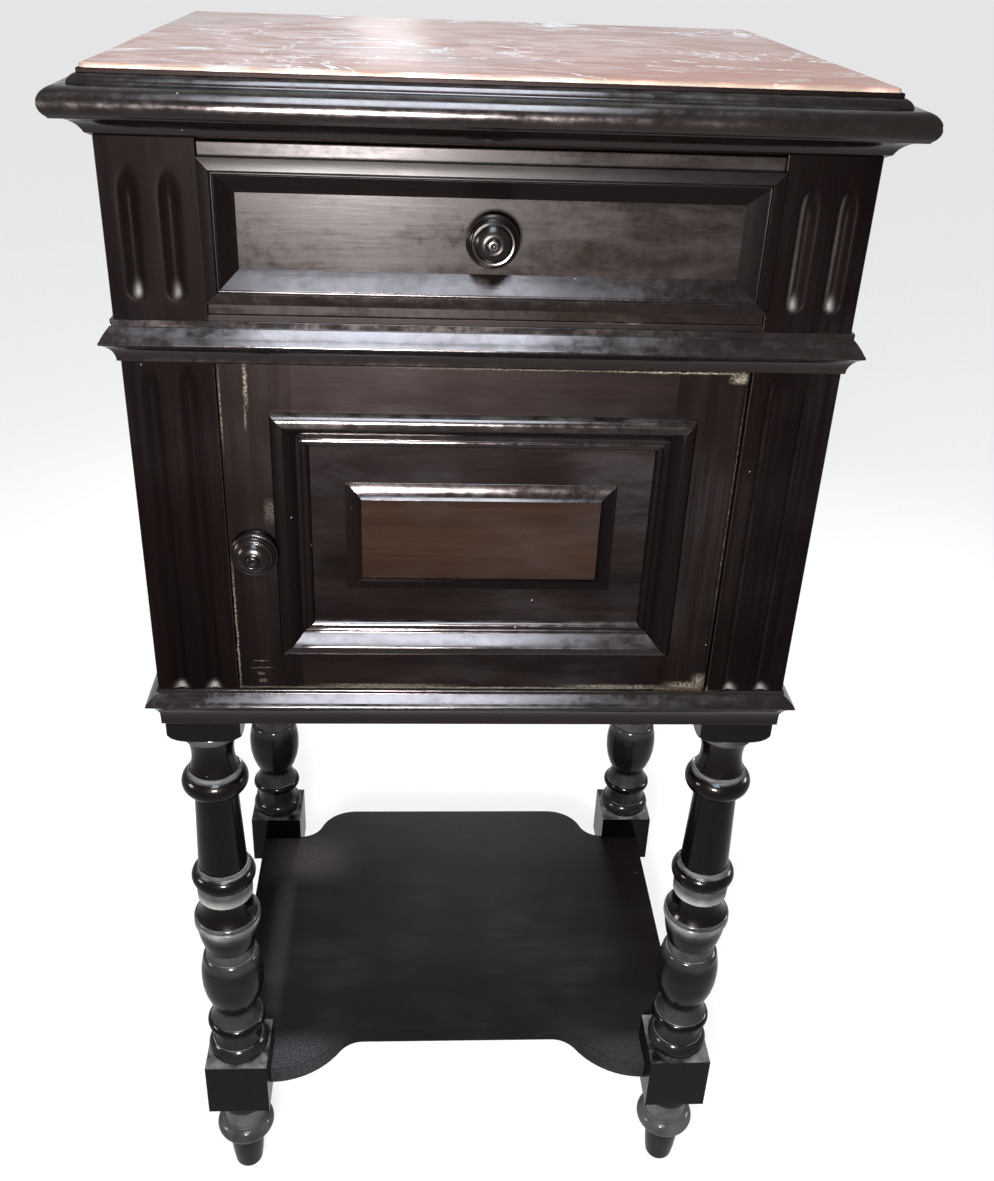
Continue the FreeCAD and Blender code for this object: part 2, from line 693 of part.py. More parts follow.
def build_stand(nodes):
    rail_zs = (floor_top - base_height, leg_height)
    inner = leg_x - leg_half
    between = (front_leg_y + leg_half, rear_leg_y - leg_half)
    nodes["base_rail_front"] = box((-inner, inner), (lower_front_y, lower_front_y + frame_thickness), rail_zs)
    nodes["base_rail_back"] = box((-inner, inner), (back_y - frame_thickness, back_y), rail_zs)
    side_rail = box((lower_half - frame_thickness, lower_half), between, rail_zs)
    nodes["base_rail_left"], nodes["base_rail_right"] = mirrored(side_rail), side_rail
    names = ("front_left_leg", "front_right_leg", "rear_left_leg", "rear_right_leg")
    for name, (x, y) in zip(names, leg_places()):
        nodes[name] = leg(x, y)
    nodes["shelf"] = shelf()


def build_drawer(nodes):
    front, left, right, back, bottom = drawer_box()
    nodes["drawer_front"] = front
    nodes["drawer_left_side"], nodes["drawer_right_side"] = left, right
    nodes["drawer_back"], nodes["drawer_bottom"] = back, bottom
    nodes["drawer_moulding"] = drawer_moulding()
    nodes["drawer_knob"] = drawer_knob()


def build_door(nodes):
    left, right, low_rail, high_rail, panel, plates = door_frame()
    nodes["door_left_stile"], nodes["door_right_stile"] = left, right
    nodes["door_bottom_rail"], nodes["door_top_rail"] = low_rail, high_rail
    nodes["door_panel"] = panel
    nodes["door_plates"] = plates
    nodes["door_moulding"] = door_moulding()
    nodes["door_knob"] = door_knob()
    nodes["knob_spindle"] = spindle()
    nodes["door_catch"] = catch()


def export(nodes):
    os.makedirs("parts", exist_ok=True)
    for name, shape in nodes.items():
        shape.exportStep(os.path.join("parts", name + ".step"))


parts = {}
build_case(parts)
build_stand(parts)
build_drawer(parts)
build_door(parts)
export(parts)
for part_name in parts:
    solids = parts[part_name].Solids
    print(part_name, len(solids), all(solid.isValid() for solid in solids))
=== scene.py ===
import json
import math

import bmesh
import bpy
import numpy as np
from mathutils import Matrix, Vector


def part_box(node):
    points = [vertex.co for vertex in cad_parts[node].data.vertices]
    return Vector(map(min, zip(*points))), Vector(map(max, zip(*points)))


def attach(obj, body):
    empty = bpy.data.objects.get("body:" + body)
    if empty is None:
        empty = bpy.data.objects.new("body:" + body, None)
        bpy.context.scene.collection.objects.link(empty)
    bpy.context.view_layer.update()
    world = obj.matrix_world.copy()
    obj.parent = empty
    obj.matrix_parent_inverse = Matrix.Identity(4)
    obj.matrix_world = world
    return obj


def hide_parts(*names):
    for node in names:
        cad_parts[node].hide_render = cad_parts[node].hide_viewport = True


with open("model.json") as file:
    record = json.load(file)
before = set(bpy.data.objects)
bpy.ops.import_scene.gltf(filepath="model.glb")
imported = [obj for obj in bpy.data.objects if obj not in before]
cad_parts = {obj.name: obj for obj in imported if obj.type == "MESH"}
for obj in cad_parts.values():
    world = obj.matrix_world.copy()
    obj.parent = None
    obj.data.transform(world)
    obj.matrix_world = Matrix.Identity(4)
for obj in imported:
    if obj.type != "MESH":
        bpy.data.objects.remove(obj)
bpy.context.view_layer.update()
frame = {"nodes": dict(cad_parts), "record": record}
nodes = frame["nodes"]
record = frame["record"]
bodyOf = {node: body for body, members in record["behaviour"]["bodies"].items() for node in members}
mm = 0.001
weldReach = 1e-7
print("frame loaded:", len(nodes), "nodes")


# Outline corners (across, up, bulge) turned into points: an edge with a bulge is an arc that swells to the
# right of the way, and its half angle is twice the arctangent of twice the bulge.
def outlinePoints(corners, arcSteps=10, leastSteps=4):
    runs = []
    for (u0, v0, bulge), (u1, v1, _) in zip(corners, corners[1:]):
        du, dv = u1 - u0, v1 - v0
        along = swell = np.zeros(1)
        if bulge:
            half = 2 * math.atan(2 * abs(bulge))
            turn = np.linspace(-1, 1, max(leastSteps, round(arcSteps * half)), endpoint=False) * half
            along = np.sin(turn) / math.sin(half) / 2 + 0.5
            swell = (np.cos(turn) - math.cos(half)) / math.sin(half) / 2 * np.sign(bulge)
        runs.append(np.stack([u0 + along * du + swell * dv, v0 + along * dv - swell * du], axis=1))
    runs.append(np.array([corners[-1][:2]]))
    return np.concatenate(runs)


# Grid of points (rows, columns, 3) as a closed mesh: columns close on themselves, the end rows are capped.
def gridObject(name, points, sharpAngle=32, values=None):
    rows, columns = points.shape[:2]
    index = np.arange(rows * columns).reshape(rows, columns)
    following = np.roll(index, -1, axis=1)
    quads = np.stack([index[:-1], following[:-1], following[1:], index[1:]], axis=-1).reshape(-1, 4)
    mesh = bpy.data.meshes.new(name)
    caps = [index[0, ::-1].tolist(), index[-1].tolist()]
    mesh.from_pydata(points.reshape(-1, 3), [], quads.tolist() + caps)
    for key, value in (values or {}).items():
        layer = mesh.attributes.new(key, "FLOAT", "POINT")
        layer.data.foreach_set("value", np.broadcast_to(value, (rows, columns)).astype(np.float32).ravel())
    whole = bmesh.new()
    whole.from_mesh(mesh)
    bmesh.ops.remove_doubles(whole, verts=whole.verts, dist=weldReach)
    bmesh.ops.recalc_face_normals(whole, faces=whole.faces)
    whole.to_mesh(mesh)
    whole.free()
    mesh.shade_smooth()
    mesh.set_sharp_from_angle(angle=math.radians(sharpAngle))
    piece = bpy.data.objects.new(name, mesh)
    bpy.context.scene.collection.objects.link(piece)
    return piece


# A section carried straight from one end ring to the other, in even steps.
def carried(name, startRing, endRing, steps=12):
    share = np.linspace(0, 1, steps)[:, None, None]
    return gridObject(name, startRing[None] + share * (endRing - startRing)[None])


# Small rounding of every arris sharper than the angle; the new faces take the second finish.
def softenArrises(piece, width, angle=38):
    rounding = piece.modifiers.new("arris", "BEVEL")
    rounding.width = width * mm
    rounding.segments = 2
    rounding.limit_method = "ANGLE"
    rounding.angle_limit = math.radians(angle)
    rounding.material = 1
    rounding.use_clamp_overlap = True


def dress(piece, *finishes):
    piece.data.materials.clear()
    for finish in finishes:
        piece.data.materials.append(finish)


# A new piece takes the place of a CAD node: its body and its finish.
def standFor(piece, node, *finishes):
    dress(piece, *finishes)
    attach(piece, bodyOf[node])
    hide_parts(node)


def addNode(tree, kind, inputs=None, **settings):
    node = tree.nodes.new(kind)
    for key, value in settings.items():
        setattr(node, key, value)
    for key, value in (inputs or {}).items():
        if isinstance(value, bpy.types.NodeSocket):
            tree.links.new(value, node.inputs[key])
        else:
            node.inputs[key].default_value = value
    return node


def startMaterial(name):
    material = bpy.data.materials.new(name)
    material.use_nodes = True
    tree = material.node_tree
    tree.nodes.clear()
    return material, tree, addNode(tree, "ShaderNodeTexCoord").outputs["Object"]


def finishMaterial(tree, shaderInputs):
    shader = addNode(tree, "ShaderNodeBsdfPrincipled", shaderInputs)
    output = addNode(tree, "ShaderNodeOutputMaterial")
    tree.links.new(shader.outputs["BSDF"], output.inputs["Surface"])


def stretched(tree, coords, scale, turn=(0, 0, 0)):
    inputs = {"Vector": coords, "Scale": scale, "Rotation": turn}
    return addNode(tree, "ShaderNodeMapping", inputs).outputs["Vector"]


# Coordinates drawn out along the grain.
def alongGrain(tree, coords, grain, stretch):
    return stretched(tree, coords, tuple(stretch if axis == grain else 1.0 for axis in "xyz"))


def noise(tree, coords, scale, detail=3.0, roughness=0.55, distortion=0.0):
    inputs = {"Vector": coords, "Scale": scale, "Detail": detail, "Roughness": roughness,
              "Distortion": distortion}
    return addNode(tree, "ShaderNodeTexNoise", inputs).outputs["Fac"]


# Smooth step of a value between two limits.
def ramp(tree, value, low, high, start=0.0, end=1.0):
    inputs = {"Value": value, "From Min": low, "From Max": high, "To Min": start, "To Max": end}
    return addNode(tree, "ShaderNodeMapRange", inputs, interpolation_type="SMOOTHSTEP").outputs["Result"]


def calc(tree, operation, first, second=0.0):
    return addNode(tree, "ShaderNodeMath", {0: first, 1: second}, operation=operation).outputs[0]


def times(tree, first, second):
    return calc(tree, "MULTIPLY", first, second)


def plus(tree, first, second):
    return calc(tree, "ADD", first, second)


# Places of the colour sockets of a mix node.
mixSockets = {"first": 6, "second": 7, "result": 2}


def blendColours(tree, share, first, second):
    inputs = {"Factor": share}
    for key, value in (("first", first), ("second", second)):
        inputs[mixSockets[key]] = value if isinstance(value, bpy.types.NodeSocket) else (*value, 1)
    return addNode(tree, "ShaderNodeMix", inputs, data_type="RGBA").outputs[mixSockets["result"]]


def bumped(tree, height, strength, distance):
    inputs = {"Height": height, "Strength": strength, "Distance": distance * mm}
    return addNode(tree, "ShaderNodeBump", inputs).outputs["Normal"]


# Share of a face that looks up, where dust settles.
def facingUp(tree, low, high):
    normal = addNode(tree, "ShaderNodeNewGeometry").outputs["Normal"]
    return ramp(tree, addNode(tree, "ShaderNodeSeparateXYZ", {0: normal}).outputs["Z"], low, high)


# Shares of a half size at which a window begins to fade and is gone.
windowFade = (0.2, 1.6)


# Soft window over a stretch of a face: full in its middle, gone a little outside the half sizes.
def window(tree, place, axes, centre, half):
    inside = []
    for socket, middle, reach in zip(axes, centre, half):
        away = calc(tree, "ABSOLUTE", calc(tree, "SUBTRACT", place.outputs[socket], middle * mm))
        near, far = (share * reach * mm for share in windowFade)
        inside.append(ramp(tree, away, near, far, 1.0, 0.0))
    return times(tree, *inside)


ebony = {
    "deep": (0.0005, 0.0003, 0.0003), "warm": (0.0017, 0.0010, 0.0008), "film": (0.006, 0.0052, 0.0052),
    "settled": (0.09, 0.085, 0.075), "bare": (0.075, 0.064, 0.048), "grain": "x", "stretch": 0.06,
    "rough": (0.42, 0.48), "specular": 0.03, "tint": (1.0, 0.74, 0.68), "coat": 0.0, "coatRough": 0.11,
    "dust": 0.12, "haze": 0.3, "warmth": 0.8, "bump": 0.12, "specks": 0.05, "mottle": 0.03,
    "banded": False, "marks": [], "markPlane": ("X", "Z"),
}
# Noises of the wood, the same for every kind: scale, detail, roughness, distortion.
woodNoises = {
    "fibres": (420, 4, 0.6), "figure": (46, 3, 0.5, 0.6), "clouds": (9, 3), "smears": (70, 6, 0.7, 0.4),
    "scuffs": (130, 6, 0.75), "dust": (70, 4), "bands": (45, 4), "grit": (700, 5, 0.75),
}
# Smooth steps taken of them: low and high limit, and what they lead from and to.
woodSteps = {
    "figure": (0.35, 0.7), "fibres": (0.3, 0.72, 0.35, 1.0), "gloss": (0.3, 0.75), "mottle": (0.35, 0.65),
    "haze": (0.4, 0.7), "streaks": (0.3, 0.7, 0.1, 1.6), "dust": (0.3, 0.75), "bands": (0.25, 0.7, 0.3, 0.9),
    "grit": (0.34, 0.72), "upward": (0.75, 0.99),
}
woodDetail = {
    "smearStretch": (4.0, 1.0, 1.0), "speckScale": 95.0, "speckSize": 0.05, "speckStrength": 0.4,
    "strayScale": 210.0, "strayDetail": 4.0, "strayReach": 1.6, "dulling": 0.35, "figureRelief": 1.5,
    "relief": 0.25,
}
# Places of wear on the door front: middle across and up, half sizes across and up, strength.
doorMarks = [
    (-126.2, 664, 0.9, 11, 0.5), (-127.2, 645, 0.5, 6, 0.35), (-139.7, 512, 0.5, 40, 0.5),
    (-139.8, 652, 0.4, 20, 0.35), (105, 674.3, 38, 0.5, 0.7), (20, 674.4, 60, 0.4, 0.3),
    (136.0, 671.5, 5, 2.4, 0.7), (139.8, 590, 0.5, 80, 0.45), (130, 475.5, 12, 2.4, 0.55),
    (136.5, 478.5, 4, 4.5, 0.5), (0, 473.2, 141, 0.6, 0.5), (-55, 474.6, 34, 1.2, 0.35),
    (85, 474.4, 26, 1.3, 0.45), (-127, 492, 3.5, 0.3, 0.4), (-126.5, 487, 5.5, 0.3, 0.3),
    (-127.5, 483, 2, 0.8, 0.25), (-126.5, 478, 2, 1.2, 0.25), (-116.5, 590, 3, 6, 0.18),
]
# Dusty places on the shelf, in plan: the same five values. They are dust and, at the corners and edges,
# painted sheen.
shelfDustAndSheenMarks = [
    (-125, -122, 32, 18, 0.7), (-135, 98, 34, 24, 0.6), (128, -122, 26, 16, 0.4), (-150, 0, 8, 90, 0.35),
    (0, -140, 95, 3, 0.3),
]
polished = {
    "specular": 0.28, "rough": (0.16, 0.21), "tint": (1.0, 0.83, 0.79), "haze": 0.0, "warmth": 0.3,
    "bump": 0.1, "specks": 0.2, "mottle": 0.1,
}
ebonyKinds = {
    "drawer": {"specular": 0.036, "rough": (0.28, 0.315), "tint": (1.0, 0.90, 0.86), "haze": 0.33,
               "dust": 0.2, "mottle": 0.09, "deep": (0.0012, 0.0007, 0.0005),
               "warm": (0.0028, 0.0016, 0.0012)},
    "across": {"specular": 0.026, "tint": (1.0, 0.86, 0.82)},
    "inside": {"specular": 0.026, "tint": (1.0, 0.86, 0.82), "haze": 0.15, "dust": 0.02},
    "door": {"specular": 0.028, "rough": (0.39, 0.44), "marks": doorMarks},
    "doorUpright": {"specular": 0.019, "rough": (0.39, 0.44), "marks": doorMarks, "grain": "z"},
    "panel": {"specular": 0.014},
    "tablet": {"specular": 0.012, "deep": (0.0022, 0.0011, 0.0007), "warm": (0.0038, 0.0019, 0.0012),
               "warmth": 1.0},
    "upright": {"grain": "z", "specular": 0.005, "rough": (0.36, 0.44), "haze": 0.1, "dust": 0.3,
                "warmth": 0.45, "settled": (0.05, 0.046, 0.042), "banded": True},
    "side": {"grain": "z", "specular": 0.12, "tint": (1.0, 0.84, 0.80), "haze": 0.4},
    "mouldAcross": polished,
    "mouldDeep": {**polished, "grain": "y", "rough": (0.18, 0.23)},
    "mouldFoot": {**polished, "specular": 0.17, "rough": (0.19, 0.24)},
    "mouldHead": {"specular": 0.045, "rough": (0.30, 0.36), "tint": (1.0, 0.92, 0.88), "haze": 0.0,
                  "specks": 0.2},
    "mouldUpright": {"grain": "z", "specular": 0.025, "rough": (0.28, 0.32), "tint": (1.0, 0.94, 0.94),
                     "haze": 0.0, "warmth": 0.3, "bump": 0.05, "specks": 0.2},
    "fillet": {"specular": 0.02, "haze": 0.0, "dust": 0.0},
    "knob": {"specular": 0.12, "rough": (0.20, 0.26), "tint": (1.0, 0.88, 0.84), "haze": 0.0, "bump": 0.02,
             "warmth": 0.3},
    "turned": {"grain": "z", "specular": 0.022, "rough": (0.28, 0.34), "tint": (1.0, 0.8, 0.74), "coat": 0.17,
               "dust": 0.5, "haze": 0.0, "bump": 0.02, "warmth": 0.3, "settled": (0.15, 0.145, 0.135),
               "banded": True},
    # The shelf's purple-grey bare colour is dust and painted sheen at its marked places.
    "shelf": {"specular": 0.04, "rough": (0.42, 0.56), "tint": (1.0, 0.88, 0.88), "haze": 0.45, "dust": 0.0,
              "film": (0.009, 0.0078, 0.0074), "deep": (0.0021, 0.0017, 0.0014),
              "warm": (0.0030, 0.0025, 0.0021), "bare": (0.055, 0.048, 0.053), "marks": shelfDustAndSheenMarks,
              "markPlane": ("X", "Y")},
}


# Dust on the faces that look up, in the turnings and flutes that hold it, and as specks in a few cells. In
# the flutes the laid share also carries painted highlights.
def settledDust(tree, coords, look):
    cloudy = ramp(tree, noise(tree, coords, *woodNoises["dust"]), *woodSteps["dust"])
    settled = times(tree, times(tree, facingUp(tree, *woodSteps["upward"]), cloudy), look["dust"])
    if look["banded"]:
        laidDustAndHighlight = addNode(tree, "ShaderNodeAttribute", attribute_name="dust").outputs["Fac"]
        broken = ramp(tree, noise(tree, coords, *woodNoises["bands"]), *woodSteps["bands"])
        settled = calc(tree, "MAXIMUM", settled, times(tree, laidDustAndHighlight, broken))
    cells = addNode(tree, "ShaderNodeTexVoronoi", {"Vector": coords, "Scale": woodDetail["speckScale"]})
    speck = calc(tree, "LESS_THAN", cells.outputs["Distance"], woodDetail["speckSize"])
    chance = addNode(tree, "ShaderNodeSeparateColor", {0: cells.outputs["Color"]}).outputs[0]
    speck = times(tree, speck, calc(tree, "LESS_THAN", chance, look["specks"]))
    return calc(tree, "MAXIMUM", settled, times(tree, speck, woodDetail["speckStrength"]))


# Worn share: soft windows at the marked places, their edges made ragged by a small noise, broken by grit. On
# the shelf these places are dust and painted sheen.
def wornAndSheenPlaces(tree, coords, look):
    inputs = {"Vector": coords, "Scale": woodDetail["strayScale"], "Detail": woodDetail["strayDetail"]}
    stray = addNode(tree, "ShaderNodeTexNoise", inputs).outputs["Color"]
    centred = addNode(tree, "ShaderNodeVectorMath", {0: stray, 1: (-0.5, -0.5, -0.5)}).outputs[0]
    inputs = {0: centred, 1: (woodDetail["strayReach"] * mm,) * 3, 2: coords}
    moved = addNode(tree, "ShaderNodeVectorMath", inputs, operation="MULTIPLY_ADD").outputs[0]
    ragged = addNode(tree, "ShaderNodeSeparateXYZ", {0: moved})
    wornAndSheen = 0.0
    for across, up, halfAcross, halfUp, strength in look["marks"]:
        spot = window(tree, ragged, look["markPlane"], (across, up), (halfAcross, halfUp))
        wornAndSheen = calc(tree, "MAXIMUM", wornAndSheen, times(tree, spot, strength))
    return times(tree, wornAndSheen, ramp(tree, noise(tree, coords, *woodNoises["grit"]), *woodSteps["grit"]))


# Black-stained wood: fine fibres drawn out along the grain, cloudy polish with smears and scuffs in its
# gloss, settled dust, and worn places, which on the shelf are dust and painted sheen.
def ebonyFinish(kind):
    look = {**ebony, **ebonyKinds[kind]}
    material, tree, coords = startMaterial("ebony." + kind)
    drawn = alongGrain(tree, coords, look["grain"], look["stretch"])
    fibres, figure = (noise(tree, drawn, *woodNoises[key]) for key in ("fibres", "figure"))
    clouds, scuffs = (noise(tree, coords, *woodNoises[key]) for key in ("clouds", "scuffs"))
    smears = noise(tree, stretched(tree, drawn, woodDetail["smearStretch"]), *woodNoises["smears"])
    tone = times(tree, ramp(tree, figure, *woodSteps["figure"]), ramp(tree, fibres, *woodSteps["fibres"]))
    colour = blendColours(tree, times(tree, tone, look["warmth"]), look["deep"], look["warm"])
    hazy = times(tree, ramp(tree, clouds, *woodSteps["haze"]), look["haze"])
    hazy = times(tree, hazy, ramp(tree, smears, *woodSteps["streaks"]))
    colour = blendColours(tree, hazy, colour, look["film"])
    dulled = settled = settledDust(tree, coords, look)
    colour = blendColours(tree, settled, colour, look["settled"])
    if look["marks"]:
        wornAndSheen = wornAndSheenPlaces(tree, coords, look)
        colour = blendColours(tree, wornAndSheen, colour, look["bare"])
        dulled = plus(tree, settled, wornAndSheen)
    gloss = ramp(tree, clouds, *woodSteps["gloss"], *look["rough"])
    for marring in (smears, scuffs):
        swing = ramp(tree, marring, *woodSteps["mottle"], -look["mottle"] / 2, look["mottle"] / 2)
        gloss = plus(tree, gloss, swing)
    gloss = plus(tree, gloss, times(tree, dulled, woodDetail["dulling"]))
    height = plus(tree, fibres, times(tree, figure, woodDetail["figureRelief"]))
    finishMaterial(tree, {
        "Base Color": colour, "Roughness": gloss,
        "Normal": bumped(tree, height, look["bump"], woodDetail["relief"]),
        "Specular IOR Level": look["specular"], "Specular Tint": (*look["tint"], 1),
        "Coat Weight": look["coat"], "Coat Roughness": look["coatRough"],
    })
    return material


arrisLook = {
    "patches": (28, 5, 0.65), "rubbed": (0.572, 0.74), "grit": (600, 3), "gritty": (0.35, 0.65, 0.0, 0.5),
    "gloss": (0.3, 0.7, 0.36, 0.5), "specular": 0.06,
}


# Arris of the same wood: rubbed through to bare wood in broken stretches.
def wornArris(name):
    material, tree, coords = startMaterial(name)
    patches = noise(tree, coords, *arrisLook["patches"])
    gritty = ramp(tree, noise(tree, coords, *arrisLook["grit"]), *arrisLook["gritty"])
    share = times(tree, ramp(tree, patches, *arrisLook["rubbed"]), gritty)
    finishMaterial(tree, {
        "Base Color": blendColours(tree, share, ebony["warm"], ebony["bare"]),
        "Roughness": ramp(tree, patches, *arrisLook["gloss"]),
        "Specular IOR Level": arrisLook["specular"], "Specular Tint": (*ebony["tint"], 1),
    })
    return material


marbleLook = {
    "rose": (0.152, 0.063, 0.043), "pale": (0.28, 0.186, 0.158), "white": (0.50, 0.47, 0.45),
    "grey": (0.21, 0.163, 0.15), "red": (0.145, 0.047, 0.027), "edge": (0.047, 0.032, 0.022),
    "blotchShare": 0.6, "streakShare": 0.4, "slant": 0.5, "whiteness": 0.9, "rough": (0.28, 0.36),
    "dulling": 0.3, "specular": 0.22, "relief": (0.04, 0.2),
}
# Noises of the marble: stretch across, turn in plan, then scale, detail, roughness and distortion.
marbleNoises = {
    "blotches": (0.6, 0.0, (30, 8, 0.68, 0.8)), "streaks": (0.22, 0.06, (150, 4, 0.6)),
    "cloud": (1.0, 0.0, (8, 4, 0.55, 0.6)), "bent": (0.6, 0.5, (8, 5, 0.6, 1.6)), "gaps": (1.0, 0.0, (6, 2)),
    "flecks": (0.7, 0.0, (24, 8, 0.66, 0.8)), "crumbs": (1.0, 0.0, (60, 4)),
}
marbleSteps = {
    "pale": (0.40, 0.60), "grey": (0.5, 0.7, 0.0, 0.7), "right": (0.0, 0.22, 0.0, 0.9),
    "clear": (0.35, 0.65, 1.0, 0.3), "vein": (0.0, 0.008, 0.9, 0.0), "gaps": (0.42, 0.56),
    "flecks": (0.59, 0.70), "arris": (0.97, 0.8), "crumbs": (0.3, 0.6, 0.55, 1.0), "gloss": (0.3, 0.7),
}


# Rose marble: cloudy blotches, fine streaks across, redder to the right front, white flecks, thin white veins
# on the ridges of a bent noise, and a cream arris where the polish has gone.
def marbleFinish(name):
    material, tree, coords = startMaterial(name)
    grain = {}
    for key, (stretch, turn, settings) in marbleNoises.items():
        grain[key] = noise(tree, stretched(tree, coords, (stretch, 1.0, 1.0), (0, 0, turn)), *settings)
    blotchy = times(tree, grain["blotches"], marbleLook["blotchShare"])
    streaky = times(tree, grain["streaks"], marbleLook["streakShare"])
    paler = ramp(tree, plus(tree, blotchy, streaky), *marbleSteps["pale"])
    colour = blendColours(tree, paler, marbleLook["rose"], marbleLook["pale"])
    colour = blendColours(tree, ramp(tree, grain["cloud"], *marbleSteps["grey"]), colour, marbleLook["grey"])
    place = addNode(tree, "ShaderNodeSeparateXYZ", {0: coords})
    depth = times(tree, place.outputs["Y"], marbleLook["slant"])
    redder = ramp(tree, calc(tree, "SUBTRACT", place.outputs["X"], depth), *marbleSteps["right"])
    redder = times(tree, redder, ramp(tree, grain["cloud"], *marbleSteps["clear"]))
    colour = blendColours(tree, redder, colour, marbleLook["red"])
    ridge = calc(tree, "ABSOLUTE", calc(tree, "SUBTRACT", grain["bent"], 0.5))
    broken = ramp(tree, grain["gaps"], *marbleSteps["gaps"])
    vein = times(tree, ramp(tree, ridge, *marbleSteps["vein"]), broken)
    white = calc(tree, "MAXIMUM", vein, ramp(tree, grain["flecks"], *marbleSteps["flecks"]))
    colour = blendColours(tree, times(tree, white, marbleLook["whiteness"]), colour, marbleLook["white"])
    crumbs = ramp(tree, grain["crumbs"], *marbleSteps["crumbs"])
    cream = times(tree, facingUp(tree, *marbleSteps["arris"]), crumbs)
    colour = blendColours(tree, cream, colour, marbleLook["edge"])
    gloss = ramp(tree, grain["blotches"], *marbleSteps["gloss"], *marbleLook["rough"])
    finishMaterial(tree, {
        "Base Color": colour, "Roughness": plus(tree, gloss, times(tree, cream, marbleLook["dulling"])),
        "Normal": bumped(tree, grain["streaks"], *marbleLook["relief"]),
        "Specular IOR Level": marbleLook["specular"],
    })
    return material


plainLook = {
    "dark": (0.068, 0.039, 0.021), "light": (0.15, 0.097, 0.054), "stain": (0.04, 0.025, 0.016),
    "stretch": 0.05, "lines": (120, 4, 0.6, 0.5), "pores": (700, 3), "stains": (11, 4), "lined": (0.3, 0.7),
    "stained": (0.45, 0.75), "pored": (0.62, 0.75, 0.0, 0.5), "rough": (0.6, 0.78), "relief": (0.15, 0.2),
    "specular": 0.1,
}
# Plain woods: the way of the grain, the share of age stains, and the tone. The low tones of plainUpright and
# plainDark are painted shade that keeps the inside of the case dark.
plainKinds = {
    "plainAcross": ("x", 0.3, 1.0), "plainDeep": ("y", 0.3, 1.0), "plainUpright": ("z", 0.5, 0.55),
    "plainDark": ("x", 0.5, 0.35),
}


# Bare softwood inside the case and drawer: long growth lines, age stains, open pores.
def plainFinish(name):
    grain, aged, tone = plainKinds[name]
    material, tree, coords = startMaterial(name)
    dark, light, stain = (tuple(tone * part for part in plainLook[key]) for key in ("dark", "light", "stain"))
    drawn = alongGrain(tree, coords, grain, plainLook["stretch"])
    lines, pores = (noise(tree, drawn, *plainLook[key]) for key in ("lines", "pores"))
    colour = blendColours(tree, ramp(tree, lines, *plainLook["lined"]), dark, light)
    stains = ramp(tree, noise(tree, coords, *plainLook["stains"]), *plainLook["stained"])
    colour = blendColours(tree, times(tree, stains, aged), colour, stain)
    colour = blendColours(tree, ramp(tree, pores, *plainLook["pored"]), colour, stain)
    finishMaterial(tree, {
        "Base Color": colour, "Roughness": ramp(tree, lines, *plainLook["lined"], *plainLook["rough"]),
        "Normal": bumped(tree, pores, *plainLook["relief"]), "Specular IOR Level": plainLook["specular"],
    })
    return material


metalLooks = {
    "brass": {"clean": (0.50, 0.36, 0.15), "dull": (0.16, 0.11, 0.06), "rough": (0.28, 0.55)},
    "steel": {"clean": (0.17, 0.165, 0.16), "dull": (0.06, 0.052, 0.046), "rough": (0.36, 0.6)},
}
metalGrain = {
    "patches": (160, 5, 0.6), "dulled": (0.4, 0.65), "gloss": (0.35, 0.7), "brushed": (1.0, 1.0, 0.05),
    "scratches": (1800, 2), "relief": (0.1, 0.05),
}


# Old metal: bright rubbed parts and dull patches, fine scratches in the bump.
def metalFinish(name):
    look = metalLooks[name]
    material, tree, coords = startMaterial(name + "Finish")
    patches = noise(tree, coords, *metalGrain["patches"])
    scratches = noise(tree, stretched(tree, coords, metalGrain["brushed"]), *metalGrain["scratches"])
    dulled = ramp(tree, patches, *metalGrain["dulled"])
    finishMaterial(tree, {
        "Base Color": blendColours(tree, dulled, look["clean"], look["dull"]),
        "Metallic": 1.0, "Roughness": ramp(tree, patches, *metalGrain["gloss"], *look["rough"]),
        "Normal": bumped(tree, scratches, *metalGrain["relief"]),
    })
    return material


ebonies = {kind: ebonyFinish(kind) for kind in ebonyKinds}
ebonyArris = wornArris("ebonyArris")
marble = marbleFinish("roseMarble")
plains = {kind: plainFinish(kind) for kind in plainKinds}
plains.update((kind, metalFinish(kind)) for kind in metalLooks)
print("finishes made:", len(bpy.data.materials))


# Boards and small parts stay as the CAD made them: only arrises and finishes are added.
boards = {
    "across": ["top_rail", "drawer_rail", "door_head_rail", "cornice_back_rail", "base_rail_front",
               "base_rail_back"],
    "inside": ["cupboard_floor"],
    "drawer": ["drawer_front"],
    "side": ["upper_left_side", "upper_right_side", "lower_left_side", "lower_right_side"],
    "door": ["door_top_rail", "door_bottom_rail"],
    "doorUpright": ["door_left_stile", "door_right_stile"],
    "shelf": ["shelf"],
    "mouldDeep": ["base_rail_left", "base_rail_right"],
    "plainAcross": ["top_board", "drawer_back", "drawer_bottom", "drawer_stops"],
    "plainDark": ["drawer_divider", "door_stop"],
    "plainDeep": ["drawer_left_side", "drawer_right_side", "left_drawer_guide", "right_drawer_guide"],
    "plainUpright": ["back_panel", "leg_dowels"],
    "brass": ["lower_pivot", "upper_pivot", "door_plates"],
    "steel": ["knob_spindle", "door_catch"],
}
boardWeld = 1e-6
usualArris = 0.5
boardArris = {"door": 0, "doorUpright": 0, "shelf": 0.9, "brass": 0.2, "steel": 0.2}
for kind, members in boards.items():
    width = boardArris.get(kind, usualArris)
    finishes = (plains[kind], plains[kind]) if kind in plains else (ebonies[kind], ebonyArris)
    for node in members:
        board = nodes[node]
        if width:
            board.modifiers.new("weld", "WELD").merge_threshold = boardWeld
            softenArrises(board, width)
            board.modifiers.new("shading", "WEIGHTED_NORMAL").keep_sharp = True
        dress(board, *finishes)
print("boards dressed")
